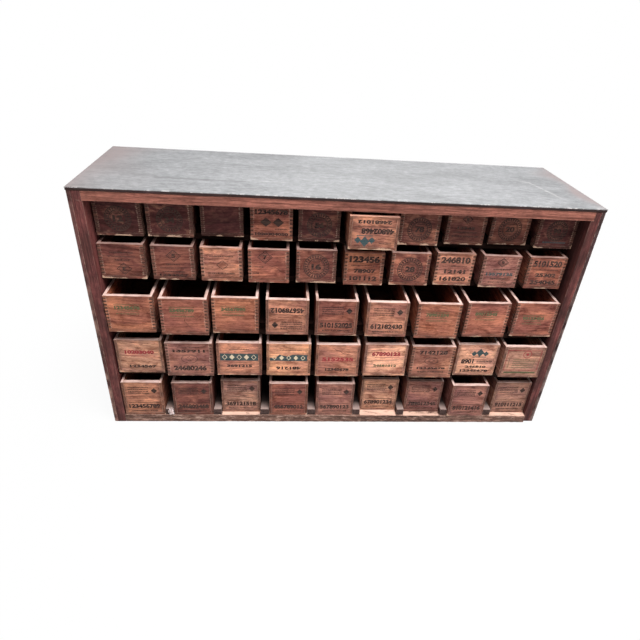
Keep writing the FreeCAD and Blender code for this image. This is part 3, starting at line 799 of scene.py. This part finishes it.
def add_nails():
    """Nail heads in each box: up through its bottom, and into its ends where it has no fingers."""
    tree = nail_heads_tree()
    sockets = {item.name: item.identifier for item in tree.interface.items_tree
               if item.in_out == "INPUT"}
    for row, column, kind in BOXES:
        name = f"nails_r{row}_c{column}"
        low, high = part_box(f"drawer_r{row}_c{column}")
        size = high - low
        foot = Vector(((low.x + high.x) / 2, low.y, low.z))
        nails = nail_places(kind, size.x / 2, size.y, size.z)
        points = bpy.data.meshes.new(name)
        points.from_pydata([foot + place - way * NAIL_SUNK for place, way in nails], [], [])
        write(points, "facing", [way for place, way in nails], kind="FLOAT_VECTOR")
        holder = show(points, f"{name}_points", [])
        modifier = holder.modifiers.new("nail heads", "NODES")
        modifier.node_group = tree
        for socket, value in (("Head Radius", NAIL_RADIUS), ("Head Height", NAIL_SUNK + NAIL_PROUD),
                              ("Rim Share", 0.82), ("Material", RUSTY_STEEL)):
            modifier[sockets[socket]] = value
        evaluated = holder.evaluated_get(bpy.context.evaluated_depsgraph_get())
        mesh = bpy.data.meshes.new_from_object(evaluated)
        bpy.data.objects.remove(holder)
        bpy.data.meshes.remove(points)
        mesh.name = name
        piece = show(mesh, name, [])
        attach(piece, f"box_r{row}_c{column}")


def add_splinters():
    """Pale shards on the broken end of the guide between the first two boxes of the lowest row."""
    numbers = random.Random("splinters")
    clear = 3 * MM
    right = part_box("drawer_r5_c2")[0].x - clear
    left = right - 12 * MM
    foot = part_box("bottom_board")[1].z
    bm = bmesh.new()

    # A torn lump
    bmesh.ops.create_icosphere(bm, subdivisions=4, radius=1.0)
    for vert in bm.verts:
        rough = 1 + 0.55 * noise.noise(vert.co * 1.9) + 0.25 * noise.noise(vert.co * 6)
        across, back, up = vert.co * rough
        vert.co = (right - 5.5 * MM + 6 * MM * across + 2.5 * MM * up, CASE_FRONT + 2 * MM + 5 * MM * back,
                   foot + 10 * MM + 9 * MM * up - 4 * MM * across)

    # Shards that stand up from it, held clear of the board below and of the boxes beside
    for shard in range(16):
        length = numbers.uniform(6, 13) * MM
        place = Vector((numbers.uniform(left, right), CASE_FRONT + numbers.uniform(-1.2, 7) * MM,
                        foot + numbers.uniform(0.4, 0.75) * length))
        turn = Matrix.Rotation(numbers.uniform(-0.45, 0.45), 4, "Y")
        lean = Matrix.Rotation(numbers.uniform(-0.5, 0.1), 4, "X")
        flat = Matrix.Diagonal((1, 0.4, 1, 1))
        bmesh.ops.create_cone(bm, cap_ends=True, segments=5, radius1=numbers.uniform(1.0, 2.8) * MM,
                              radius2=0.15 * MM, depth=length,
                              matrix=Matrix.Translation(place) @ turn @ lean @ flat)
    for vert in bm.verts:
        vert.co.z = max(vert.co.z, foot + 0.1 * MM)
        vert.co.x = min(max(vert.co.x, left - clear / 2), right + clear / 2)
    bmesh.ops.recalc_face_normals(bm, faces=bm.faces[:])
    mesh = bpy.data.meshes.new("splinters")
    bm.to_mesh(mesh)
    bm.free()
    write(mesh, "grain_place", [(vert.co.z, vert.co.x, vert.co.y) for vert in mesh.vertices],
          kind="FLOAT_VECTOR")
    piece = show(mesh, "splinters", [SPLINTER_WOOD])
    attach(piece, "case")


# Prints on the boxes' fronts

INK_BEHIND, INK_PROUD = 0.02 * MM, 0.1 * MM
GLYPHS = {}


def figure_shape(text):
    """A line of plain numbers as a flat closed mesh, one unit wide and one unit high."""
    if text not in GLYPHS:
        curve = bpy.data.curves.new("figures", "FONT")
        curve.body = text
        curve.resolution_u = 3
        curve.offset = 0.055
        curve.extrude = 0.5
        holder = bpy.data.objects.new("figures", curve)
        bpy.context.scene.collection.objects.link(holder)
        mesh = bpy.data.meshes.new_from_object(holder)
        points = [vert.co.copy() for vert in mesh.vertices]
        left, right = min(p.x for p in points), max(p.x for p in points)
        foot, head = min(p.y for p in points), max(p.y for p in points)
        shape = [((p.x - left) / (right - left) - 0.5, (p.y - foot) / (head - foot) - 0.5, p.z)
                 for p in points]
        GLYPHS[text] = (shape, [list(face.vertices) for face in mesh.polygons])
        bpy.data.objects.remove(holder)
        bpy.data.curves.remove(curve)
        bpy.data.meshes.remove(mesh)
    return GLYPHS[text]


class Print:
    """The inked shapes on one front, in millimetres from the middle of the front's foot."""

    def __init__(self, row, column):
        """Start with a bare front. A turned print stands on its head."""
        self.low, self.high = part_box(f"drawer_r{row}_c{column}")
        self.numbers = random.Random(f"print {row} {column}")
        self.places, self.faces = [], []
        self.inks, self.face_inks = [], []
        self.turned = False
        self.half = (self.high.x - self.low.x) / 2 / MM
        self.height = (self.high.z - self.low.z) / MM

    def _take(self, points, faces, ink_name):
        """Points are across, up and a depth share from -0.5 behind to 0.5 proud."""
        if ink_name not in self.inks:
            self.inks.append(ink_name)
        first = len(self.places)
        centre = (self.low.x + self.high.x) / 2
        for across, up, share in points:
            if self.turned:
                across, up = -across, self.height - up
            depth = INK_BEHIND - (share + 0.5) * (INK_BEHIND + INK_PROUD)
            self.places.append((centre + across * MM, self.low.y + depth, self.low.z + up * MM))
        self.faces += [[first + index for index in face] for face in faces]
        self.face_inks += [self.inks.index(ink_name)] * len(faces)

    def plate(self, outline, ink_name):
        """A filled shape."""
        count = len(outline)
        points = [(u, v, share) for share in (-0.5, 0.5) for u, v in outline]
        sides = [(i, (i + 1) % count, count + (i + 1) % count, count + i) for i in range(count)]
        self._take(points, [range(count - 1, -1, -1), range(count, 2 * count)] + sides, ink_name)

    def band(self, outer, inner, ink_name):
        """The space between two outlines with as many points."""
        count = len(outer)
        points = [(u, v, share) for share in (-0.5, 0.5) for u, v in outer + inner]
        faces = []
        for i in range(count):
            j = (i + 1) % count
            hole, front, front_hole = count, 2 * count, 3 * count
            faces += [(j, i, hole + i, hole + j),
                      (front + i, front + j, front_hole + j, front_hole + i),
                      (i, j, front + j, front + i),
                      (hole + j, hole + i, front_hole + i, front_hole + j)]
        self._take(points, faces, ink_name)

    def rule(self, u, v, wide, high, ink_name):
        """A filled bar."""
        self.plate(rectangle(u - wide / 2, u + wide / 2, v - high / 2, v + high / 2), ink_name)

    def figures(self, text, u, v, wide, high, ink_name):
        """A line of plain numbers, centred at a place."""
        shape, faces = figure_shape(text)
        self._take([(u + x * wide, v + y * high, z) for x, y, z in shape], faces, ink_name)

    def dashes(self, u, v, wide, high, ink_name):
        """A row of short upright dashes, as unreadable as small worn print."""
        at = u - wide / 2
        while at < u + wide / 2 - 1:
            step = self.numbers.uniform(0.8, 2.0)
            tall = high * self.numbers.uniform(0.7, 1.0)
            self.rule(at + step / 2, v, step, tall, ink_name)
            at += step + self.numbers.uniform(0.5, 1.3)

    def ring(self, u, v, radius, thick, ink_name, flat=1.0, count=28):
        """A ring, round or flattened to an oval."""
        turns = [2 * math.pi * step / count for step in range(count)]
        outer, inner = ([(u + reach * math.cos(turn), v + reach * flat * math.sin(turn))
                         for turn in turns] for reach in (radius, radius - thick))
        self.band(outer, inner, ink_name)

    def lozenge(self, u, v, wide, high, thick, ink_name):
        """A diamond, filled if thick is zero."""
        def corners(w, h):
            return [(u + w / 2, v), (u, v + h / 2), (u - w / 2, v), (u, v - h / 2)]
        if thick:
            self.band(corners(wide, high), corners(wide - 2.6 * thick, high - 2.6 * thick), ink_name)
        else:
            self.plate(corners(wide, high), ink_name)

    def rays(self, u, v, inner, outer, count, ink_name):
        """A sunburst of wedges round a middle."""
        for step in range(count):
            turn = 2 * math.pi * step / count
            spread = 0.7 * math.pi / count
            outline = [(u + radius * math.cos(angle), v + radius * math.sin(angle))
                       for radius, angle in ((inner, turn - spread / 2), (outer, turn - spread),
                                             (outer, turn + spread), (inner, turn + spread / 2))]
            self.plate(outline, ink_name)

    def crack(self, points, wide=0.7, ink_name="split"):
        """A jagged dark split or scratch through the given points."""
        upper, lower = [], []
        last = len(points) - 1
        for index, (u, v) in enumerate(points):
            before, after = points[max(0, index - 1)], points[min(last, index + 1)]
            run, rise = after[0] - before[0], after[1] - before[1]
            half = (wide / 2 * (1 - (2 * index / last - 1) ** 4) + 0.05) / math.hypot(run, rise)
            upper.append((u - rise * half, v + run * half))
            lower.append((u + rise * half, v - run * half))
        self.plate(lower + upper[::-1], ink_name)

    def finish(self, name, body):
        """Put the marks in the scene as one closed mesh, if there are any."""
        if not self.places:
            return
        mesh = bpy.data.meshes.new(name)
        mesh.from_pydata(self.places, [], self.faces)
        bm = bmesh.new()
        bm.from_mesh(mesh)
        bmesh.ops.remove_doubles(bm, verts=bm.verts[:], dist=0.002 * MM)
        bmesh.ops.recalc_face_normals(bm, faces=bm.faces[:])
        bm.to_mesh(mesh)
        bm.free()
        piece = show(mesh, name, [INKS[ink_name] for ink_name in self.inks])
        mesh.polygons.foreach_set("material_index", self.face_inks)
        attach(piece, body)


def wheel(p, ink_name, number, u, v, radius):
    """A toothed wheel round a plain number."""
    p.ring(u, v, radius, 1.8, ink_name, count=36)
    p.rays(u, v, radius * 0.72, radius * 0.91, 26, ink_name)
    p.ring(u, v, radius * 0.69, 2.0, ink_name, count=32)
    p.ring(u, v, radius * 0.57, 0.8, ink_name, count=32)
    p.figures(number, u, v, radius * 0.76, radius * 0.5, ink_name)
    for side in (-1, 1):
        p.dashes(u, v + side * radius * 0.4, radius * 0.5, radius * 0.1, ink_name)


def diamond(p, ink_name, number, u, v, wide):
    """A plain number in a double diamond."""
    p.lozenge(u, v, wide, wide * 0.86, 1.5, ink_name)
    p.lozenge(u, v, wide * 0.74, wide * 0.62, 0.8, ink_name)
    p.figures(number, u, v, wide * 0.27, wide * 0.32, ink_name)


def ledger(p, ink_name, numbers, foot=True):
    """Large numbers low on the front, under a block of dashes beside a small diamond."""
    p.figures(numbers, 0, 27, 1.56 * p.half, 13.5, ink_name)
    for step in range(4):
        p.dashes(-9, p.height - 16 - 5.6 * step, 1.02 * p.half, 3.8, ink_name)
    p.lozenge(0.58 * p.half, p.height - 25, 15, 17, 0, ink_name)
    p.rule(0, 38.5, 1.5 * p.half, 1.1, ink_name)
    if foot:
        p.dashes(0, 13, 1.3 * p.half, 4.2, ink_name)


def green_lines(p, number, high):
    """A bold number between two thin rules, over one row of dashes."""
    p.rule(-4, high + 8, 56, 1.0, "green")
    p.figures(number, -4, high, 54, 9.5, "green")
    p.rule(-4, high - 8, 44, 1.2, "green")
    p.dashes(-4, high - 15, 50, 3.4, "green")


def banner(p, v, tall, torn):
    """A teal band with pale diamonds on it, whole or with its paint flaked at one end."""
    half = p.half - 8
    low, high = v - tall / 2, v + tall / 2
    if torn:
        p.plate([(-half, low), (-half * 0.2, low), (half * 0.05, v - tall * 0.2), (half * 0.5, low),
                 (half * 0.72, v + tall * 0.1), (half, v), (half, high), (-half, high)], "teal")
    else:
        p.rule(0, v, 2 * half, tall, "teal")
    band_face = p.low
    p.low = band_face - Vector((0, 0.1 * MM, 0))
    for step in range(-2, 3):
        p.lozenge(step * half * 0.38, v, tall * 0.62, tall * 0.74, 0 if step % 2 else 1.3, "chalk")
    p.low = band_face


def badge(p, u, v):
    """Three dark teal diamonds and a bar."""
    p.lozenge(u, v, 20, 24, 0, "teal")
    p.lozenge(u - 15, v - 3, 15, 15, 0, "teal")
    p.lozenge(u + 15, v - 3, 15, 15, 0, "teal")
    p.rule(u + 1, v - 13, 34, 1.6, "teal")


# What is printed on each front, row by row, from the top down

def print_row_1(p, column):
    """Toothed wheels, and three boxes with rows of numbers."""
    mid = p.height / 2
    if column in (1, 2, 5, 7, 9):
        numbers = {1: "12", 2: "34", 5: "56", 7: "78", 9: "20"}
        wheel(p, "black", numbers[column], 0, mid - 3, 27)
    elif column == 4:
        p.figures("12345678", 0, 62, 68, 11, "black")
        p.lozenge(-12, 40, 24, 20, 0, "black")
        p.lozenge(14, 40, 24, 20, 0, "black")
        p.dashes(20, 25, 26, 3.2, "black")
        p.figures("1020304050", 0, 14, 70, 6.5, "black")
    elif column == 6:
        p.turned = True
        badge(p, 18, 55)
        p.dashes(-26, 58, 26, 2.8, "black")
        p.figures("46802468", -8, 32, 70, 13, "black")
        p.rule(0, 22, 84, 0.8, "black")
        p.figures("24681012", 0, 12, 72, 8, "black")
    elif column == 8:
        diamond(p, "faint", "8", 0, 58, 24)
        p.figures("12345", 0, 38, 40, 6, "faint")
        p.dashes(0, 28, 54, 3.2, "faint")
        p.dashes(0, 19, 60, 4.0, "black")
    elif column == 10:
        wheel(p, "black", "90", 0, mid + 2, 24)
        p.dashes(0, 14, 54, 4.5, "teal")


def print_row_2(p, column):
    """Toothed wheels, diamonds and rows of numbers."""
    mid = p.height / 2
    if column in (5, 7):
        wheel(p, "black", {5: "16", 7: "28"}[column], 0, mid, 29)
    elif column in (1, 2):
        p.turned = column == 1
        number, u = {1: ("3", -2), 2: ("5", 2)}[column]
        diamond(p, "black", number, u, 56, 32)
        p.dashes(0, 36, 30, 4.0, "black")
        p.dashes(0, 28, 56, 2.4, "faint")
        p.dashes(0, 19, 48, 3.6, "black")
        if column == 2:
            p.figures("1234567", 0, 11, 62, 5.5, "black")
    elif column == 3:
        p.dashes(0, 58, 50, 3.0, "faint")
        p.lozenge(2, 38, 26, 22, 1.0, "faint")
        p.dashes(0, 18, 60, 4.0, "faint")
    elif column == 4:
        diamond(p, "black", "7", -8, 60, 34)
        p.dashes(-20, 37, 20, 3.4, "faint")
        p.dashes(-28, 22, 14, 3.0, "faint")
        p.crack([(-4, 44), (8, 39), (16, 36), (26, 29), (34, 26), (42, 18)])
    elif column in (6, 8, 10):
        ink_name = "black" if column == 6 else "faint"
        upper, middle, lower = {6: ("123456", "78907", "101112"), 8: ("246810", "12141", "161820"),
                                10: ("5101520", "25302", "354045")}[column]
        p.figures(upper, 0, 62, 68, 16, ink_name)
        p.dashes(0, 47, 60, 2.4, ink_name)
        p.figures(middle, 2, 34, 50, 10, ink_name)
        p.figures(lower, 0, 16, 62, 11, ink_name)
    elif column == 9:
        diamond(p, "black", "9", 2, 62, 27)
        p.dashes(2, 45, 38, 4.2, "black")
        p.figures("13579135", 0, 33, 64, 8, "teal")
        p.dashes(0, 22, 40, 4.5, "black")
        p.dashes(0, 13, 46, 3.8, "black")


def print_row_3(p, column):
    """Green numbers between rules, and three black ledgers."""
    if column in (1, 2, 3, 7, 8, 9):
        numbers = {1: "12345678", 2: "23456789", 3: "34567890", 7: "78901234", 8: "89012345",
                   9: "90123456"}
        green_lines(p, numbers[column], 50 if column == 9 else 62)
        if column == 2:
            p.crack([(-2, 60), (3, 48), (0, 36), (8, 24), (16, 16)], 0.5, "black")
            p.crack([(16, 55), (27, 41), (36, 49), (44, 62)], 0.5, "black")
    else:
        p.turned = column == 4
        numbers = {4: "456789012", 5: "510152025", 6: "612182430"}
        ledger(p, "faint" if column == 6 else "black", numbers[column], column != 4)


def print_row_4(p, column):
    """Red and grey numbers, teal bands, a badge and a red frame."""
    if column == 1:
        p.figures("10203040", 0, 58, 66, 10, "red")
        p.rule(0, 48, 66, 0.8, "red")
        p.figures("1234567", 4, 18, 62, 8, "faint")
    elif column == 2:
        p.figures("1357911", 0, 70, 74, 8, "faint")
        p.dashes(0, 80, 50, 2.4, "faint")
        p.ring(0, 48, 19, 1.2, "faint", flat=0.62)
        p.lozenge(0, 48, 20, 14, 0.9, "faint")
        p.figures("24680246", 0, 22, 76, 14, "faint")
    elif column == 3:
        banner(p, 52, 20, False)
        p.figures("3691215", 0, 27, 60, 8, "faint")
        p.dashes(0, 74, 46, 3.2, "faint")
    elif column == 4:
        p.turned = True
        banner(p, 40, 18, True)
        p.figures("481216", 0, 70, 60, 9, "black")
        p.dashes(0, 18, 60, 2.6, "faint")
    elif column == 5:
        p.figures("5152535", 0, 50, 76, 11, "red")
        p.rule(0, 42, 76, 0.9, "red")
        p.figures("12345678", 0, 20, 58, 8.5, "black")
        p.crack([(-14, 84), (-4, 76), (4, 74), (14, 66), (26, 62)], 0.9)
    elif column == 6:
        p.figures("67890123", 0, 64, 70, 13, "red")
        p.rule(4, 54, 62, 1.2, "red")
        p.figures("24681012", 0, 30, 58, 7, "green")
    elif column == 7:
        p.figures("7142128", 0, 74, 70, 12, "faint")
        p.ring(-2, 50, 17, 1.2, "faint", flat=0.62)
        p.lozenge(-2, 50, 17, 12, 0.9, "faint")
        p.figures("12345678", 0, 28, 72, 6, "black")
        p.dashes(0, 17, 66, 5.0, "black")
    elif column == 8:
        badge(p, 6, 68)
        p.figures("8901", -22, 42, 32, 14, "black")
        p.dashes(22, 42, 40, 6, "black")
        p.figures("246810", 2, 26, 54, 7, "black")
        p.figures("12345678", 0, 14, 72, 7.5, "black")
    else:
        half, line = p.half - 9, 1.2
        p.band(rectangle(-half, half, 22, 82),
               rectangle(-half + line, half - line, 22 + line, 82 - line), "red")
        p.ring(8, 70, 11, 1.6, "red")
        p.lozenge(8, 70, 9, 9, 0, "red")
        for step in range(5):
            p.dashes(4, 54 - 6 * step, 1.3 * half, 3.2, "green")
        p.rule(-0.8 * half, 42, 1.2, 30, "green")
        p.rule(0, 15, 1.9 * half, 5.0, "green")


def print_row_5(p, column):
    """Black ledgers, fainter on some boxes."""
    numbers = {1: "123456789", 2: "246802468", 3: "369121518", 4: "456789012", 5: "567890123",
               6: "678901234", 7: "789012345", 8: "810121416", 9: "910111213"}
    ink_name = "black" if column in (1, 2, 3, 4, 8, 9) else "faint"
    ledger(p, ink_name, numbers[column])
    if column == 3:
        p.crack([(-30, 52), (-12, 49), (4, 51), (20, 46), (38, 47)], 0.7)


PRINT_ROWS = {1: print_row_1, 2: print_row_2, 3: print_row_3, 4: print_row_4, 5: print_row_5}


def add_prints():
    """The worn prints on the boxes' fronts."""
    for row, column, kind in BOXES:
        p = Print(row, column)
        PRINT_ROWS[row](p, column)
        p.finish(f"print_r{row}_c{column}", f"box_r{row}_c{column}")


# Case boards

# How much dust each back board carries, from the lowest up
BACK_DUST = (0.1, 0.5, 0.25, 0.6, 0.0)
BACK_BOARD_COUNT = len(BACK_DUST)
BACK_SEAM = 0.5 * MM


def clean_copy(node):
    """A CAD node's solids as one closed mesh of plain flat faces."""
    bm = bmesh.new()
    bm.from_mesh(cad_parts[node].data)
    bmesh.ops.remove_doubles(bm, verts=bm.verts[:], dist=0.01 * MM)
    bmesh.ops.dissolve_limit(bm, angle_limit=math.radians(1), verts=bm.verts[:], edges=bm.edges[:])
    return bm


def case_board(node, materials, grain_axis, steps, softness=0.6 * MM, chips=0.8 * MM, marks=None,
               seams=()):
    """Dress one of the case's nodes: soft worn edges, grain, and any special marks.

    Seams are heights at which two boards lie tight together."""
    deepest_chip, unevenness, bare_depth = 2.2 * MM, 0.06 * MM, 0.9 * MM
    numbers = random.Random(node)
    bm = clean_copy(node)
    low, high = soften(bm, softness, steps)
    timber = Timber()
    timber.add(bm, grain_axis, low, high, random_offset(numbers))
    offset = random_offset(numbers)
    places, chipped = [], []
    for place, normal, edge in zip(timber.places, timber.normals, timber.marks["edge"]):
        depth = unevenness * (1 + noise.noise((place + offset) * 25))
        chip = min(deepest_chip, chip_depth(place + offset, chips)) if edge else 0.0
        worn = place - normal * (depth + chip)
        for seam in seams:
            if abs(place.z - seam) < 0.6 * BACK_SEAM:
                worn.z = seam + math.copysign(0.01 * MM, place.z - seam)
        places.append(worn)
        chipped.append(min(1.0, chip / bare_depth))
    mesh = timber.mesh(node, places)
    write(mesh, "chipped", chipped)
    for name, values in (marks(timber) if marks else {}).items():
        write(mesh, name, values, "POINT" if len(values) == len(places) else "FACE")
    piece = show(mesh, f"{node}_dressed", materials)
    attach(piece, "case")
    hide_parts(node)
    return piece


def sheet_marks(timber):
    """Where the top sheet is browned at its ends and chipped along its front."""
    low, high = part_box("top_sheet")
    brown, strip = [], []
    for place in timber.places:
        wander = 60 * MM * noise.noise(place * 9)
        left = clamp(1 - (place.x - low.x + wander) / (150 * MM), 2.0) ** 1.5
        right = clamp(1 - (high.x - place.x + wander) / (60 * MM), 2.0) ** 2
        brown.append(min(0.8, max(left, right)))
        strip.append(max(0.0, 1 - (place.y - low.y) / (6 * MM)))
    return {"brown_end": brown, "front_strip": strip}


def bare_marks(timber):
    """Bare strips on top of the bottom board, in front of boxes that are pushed in."""
    places = [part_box(f"drawer_r{row}_c{column}") for row, column, kind in BOXES if row == 5]
    marks = []
    for face in timber.faces:
        middle = sum((timber.places[index] for index in face), Vector()) / len(face)
        flat = timber.normals[face[0]].z > 0.5 and middle.z > places[0][0].z - 1.5 * MM
        bare = any(low.x < middle.x < high.x and middle.y < low.y + 20 * MM
                   and low.y > CASE_FRONT + 8 * MM for low, high in places)
        marks.append(1.0 if flat and bare else 0.0)
    return {"bare": marks}


def nibbled_marks(timber):
    """Pale nibbles along the outer front arris of an outer board, most of them low down."""
    reach = max(abs(place.x) for place in timber.places)
    marks = []
    for place in timber.places:
        away = math.hypot(reach - abs(place.x), place.y - CASE_FRONT)
        bitten = max(0.0, noise.noise(place * 48) + 0.35) * 3.2
        lowness = max(0.15, 1.3 - place.z / 0.4)
        marks.append(min(1.0, bitten * math.exp(-away / (5 * MM)) * lowness))
    return {"wear_dust_and_highlight": marks}


def inner_shade(lit, fading, most):
    """A marker of painted shade: how dark an upright's inner face grows behind its lit strip, up to the
    most.
    """
    def marks(timber):
        inner_face = min(abs(place.x) for place in timber.places) + 8 * MM
        return {"deep": [clamp((place.y - CASE_FRONT - lit) / fading, most)
                         if abs(place.x) < inner_face else 0.0 for place in timber.places]}
    return marks


def back_marks(timber):
    """The dark seams between the back boards, and how much dust each board carries."""
    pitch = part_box("back_boards")[1].z / BACK_BOARD_COUNT
    deep, wear_dust_and_highlight = [], []
    for place in timber.places:
        share = place.z / pitch
        seam = abs(share - round(share)) * pitch < 1.2 * MM and 0 < round(share) < BACK_BOARD_COUNT
        deep.append(0.9 if seam else 0.0)
        wear_dust_and_highlight.append(BACK_DUST[min(BACK_BOARD_COUNT - 1, int(share))])
    return {"deep": deep, "wear_dust_and_highlight": wear_dust_and_highlight}


def guide_marks(timber):
    """Painted shade that darkens the guides towards the back, and a pale cover on their tops that is a
    painted highlight.
    """
    deep = [clamp((place.y - CASE_FRONT - 4 * MM) / (32 * MM)) for place in timber.places]
    wear_dust_and_highlight = [1.0 if timber.normals[face[0]].z > 0.3 and timber.normals[face[-1]].z > 0.3 else 0.0
             for face in timber.faces]
    return {"deep": deep, "wear_dust_and_highlight": wear_dust_and_highlight}


def add_case():
    """The case's boards and sheet, and rust on its nails."""
    long_cut, short_cut = 12 * MM, 6 * MM
    # Painted shade: the right upright's inner face darkens sooner than the left one's, and the right skin
    # gets the darker, shaded copy of the skins' stain
    for side, skin, shade in (("left", DARK_STAIN, inner_shade(25 * MM, 120 * MM, 1.0)),
                              ("right", SHADED_SKIN_STAIN, inner_shade(-15 * MM, 40 * MM, 0.85))):
        case_board(f"{side}_side_board", [UPRIGHT_STAIN], Z_AXIS, (0, 20 * MM, short_cut),
                   1.1 * MM, marks=shade)
        case_board(f"{side}_side_skin", [skin], Z_AXIS, (4 * MM, 40 * MM, 4 * MM), 1.0 * MM,
                   3.2 * MM, nibbled_marks)
    case_board("top_board", [RED_STAIN], X_AXIS, (short_cut, 0, 0), chips=0.5 * MM)
    case_board("top_underlay", [UNDERLAY_WOOD], X_AXIS, (short_cut, 0, 0), chips=1.6 * MM)
    case_board("top_sheet", [SHEET_METAL], X_AXIS, (4 * MM, long_cut, 0), 0.3 * MM,
               1.1 * MM, sheet_marks)
    case_board("bottom_board", [SILL_WOOD], X_AXIS, (5 * MM, long_cut, 0), 1.2 * MM, 1.8 * MM,
               bare_marks)
    # The shelves get the near-black wood: painted shade
    for node in ("shelves_upper", "shelves_lower"):
        case_board(node, [SHADE_BLACK_WOOD], X_AXIS, (long_cut, 0, 0), chips=1.2 * MM)
    guides = case_board("drawer_guides", [GUIDE_WOOD, SHADE_BLACK_WOOD], Y_AXIS, (0, 30 * MM, 0),
                        0.8 * MM, 1.6 * MM, guide_marks)
    # Guide faces above the lowest row get the near-black wood, painted shade, while the lowest row's guides
    # keep their own colour
    lowest_row_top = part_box("drawer_r5_c1")[1].z
    for face in guides.data.polygons:
        face.material_index = 1 if face.center.z > lowest_row_top else 0
    pitch = (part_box("back_boards")[1].z + BACK_SEAM) / BACK_BOARD_COUNT
    case_board("back_boards", [BACK_WOOD], X_AXIS, (long_cut, 0, 0), 2.4 * MM, 1.0 * MM,
               back_marks, [pitch * board - BACK_SEAM / 2 for board in range(1, BACK_BOARD_COUNT)])
    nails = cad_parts["case_nails"]
    nails.data.materials.clear()
    nails.data.materials.append(RUSTY_STEEL)


# Camera, lights and floor

def add_camera():
    """A camera at the photograph's place. The photograph's sizes are in its own 640 pixels."""
    azimuth, elevation, roll = (math.radians(angle) for angle in (-6.849, 33.243, 4.515))
    width, focal, centre_x, centre_y, sensor = 640, 524.36, 335.5, 351.25, 36
    place = Vector((-0.1305, CASE_FRONT - 1.0449, 0.9104))
    back = Vector((math.sin(azimuth) * math.cos(elevation), -math.cos(azimuth) * math.cos(elevation),
                   math.sin(elevation)))
    level = Vector((0, 0, 1)).cross(back).normalized()
    upright = back.cross(level)
    right = math.cos(roll) * level + math.sin(roll) * upright
    top = math.cos(roll) * upright - math.sin(roll) * level
    camera = bpy.data.cameras.new("camera")
    camera.sensor_width = sensor
    camera.lens = focal / width * sensor
    camera.shift_x = (width / 2 - centre_x) / width
    camera.shift_y = (centre_y - width / 2) / width
    stand = bpy.data.objects.new("camera", camera)
    turned = Matrix((right, top, back)).transposed().to_4x4()
    turned.translation = place
    stand.matrix_world = turned
    bpy.context.scene.collection.objects.link(stand)
    bpy.context.scene.camera = stand


def add_lamp(name, place, target, size, power):
    """A square soft light that looks at a target."""
    lamp = bpy.data.lights.new(name, "AREA")
    lamp.shape = "SQUARE"
    lamp.size = size
    lamp.energy = power
    holder = bpy.data.objects.new(name, lamp)
    holder.location = place
    holder.rotation_euler = (Vector(target) - Vector(place)).to_track_quat("-Z", "Y").to_euler()
    bpy.context.scene.collection.objects.link(holder)


def background_rays(tree):
    """1 for the rays that see the white background: the camera's, glossy and transmitted ones."""
    rays = add_node(tree, "ShaderNodeLightPath").outputs
    seen = maths(tree, "MAXIMUM", rays["Is Camera Ray"], rays["Is Transmission Ray"])
    return maths(tree, "MAXIMUM", seen, rays["Is Glossy Ray"])


def add_floor():
    """A plain pale floor that keeps the object's shadow and fades to white away from it."""
    reach = 60
    mesh = bpy.data.meshes.new("floor")
    mesh.from_pydata([(x, y, 0) for x, y in rectangle(-reach, reach, -reach, reach)], [],
                     [(0, 1, 2, 3)])
    material, tree, shader = new_material("pale_floor")
    shader.inputs["Base Color"].default_value = rgb(0.62, 0.62, 0.62)
    shader.inputs["Roughness"].default_value = 0.9
    shader.inputs["Specular IOR Level"].default_value = 0.1
    glow = add_node(tree, "ShaderNodeEmission", {"Color": rgb(1, 1, 1), "Strength": 1.0})
    place = add_node(tree, "ShaderNodeTexCoord").outputs["Object"]
    far = add_node(tree, "ShaderNodeVectorMath", {0: place}, operation="LENGTH").outputs["Value"]
    share = fade(tree, far, 0.55, 1.0, 0.94, 1.0)
    share = times(tree, background_rays(tree), share)
    mixed = add_node(tree, "ShaderNodeMixShader", {0: share, 1: shader.outputs[0], 2: glow.outputs[0]})
    tree.links.new(mixed.outputs[0], tree.nodes["Material Output"].inputs["Surface"])
    show(mesh, "floor", [material])


def add_world():
    """A dim even light all round, in front of a white background."""
    world = bpy.data.worlds.new("studio")
    world.use_nodes = True
    bpy.context.scene.world = world
    tree = world.node_tree
    ambient = tree.nodes["Background"]
    ambient.inputs["Color"].default_value = rgb(0.95, 0.97, 1.0)
    ambient.inputs["Strength"].default_value = 0.2
    white = add_node(tree, "ShaderNodeBackground", {"Color": rgb(1, 1, 1), "Strength": 1.0})
    mixed = add_node(tree, "ShaderNodeMixShader",
                     {0: background_rays(tree), 1: ambient.outputs[0], 2: white.outputs[0]})
    tree.links.new(mixed.outputs[0], tree.nodes["World Output"].inputs["Surface"])


def add_studio():
    """Camera, floor and plain soft light."""
    add_camera()
    add_floor()
    add_world()
    add_lamp("overhead", (0.4, -1.0, 2.7), (0, -0.1, 0.35), 1.4, 142)
    add_lamp("front_fill", (-0.3, -3.2, 2.0), (0, 0, 0.25), 2.0, 11)
    add_lamp("back_fill", (0.5, 3.0, 1.7), (0, 0.1, 0.3), 1.6, 26)
    bpy.context.scene.view_settings.view_transform = "Standard"


add_studio()
add_case()
add_boxes()
add_nails()
add_splinters()
add_prints()
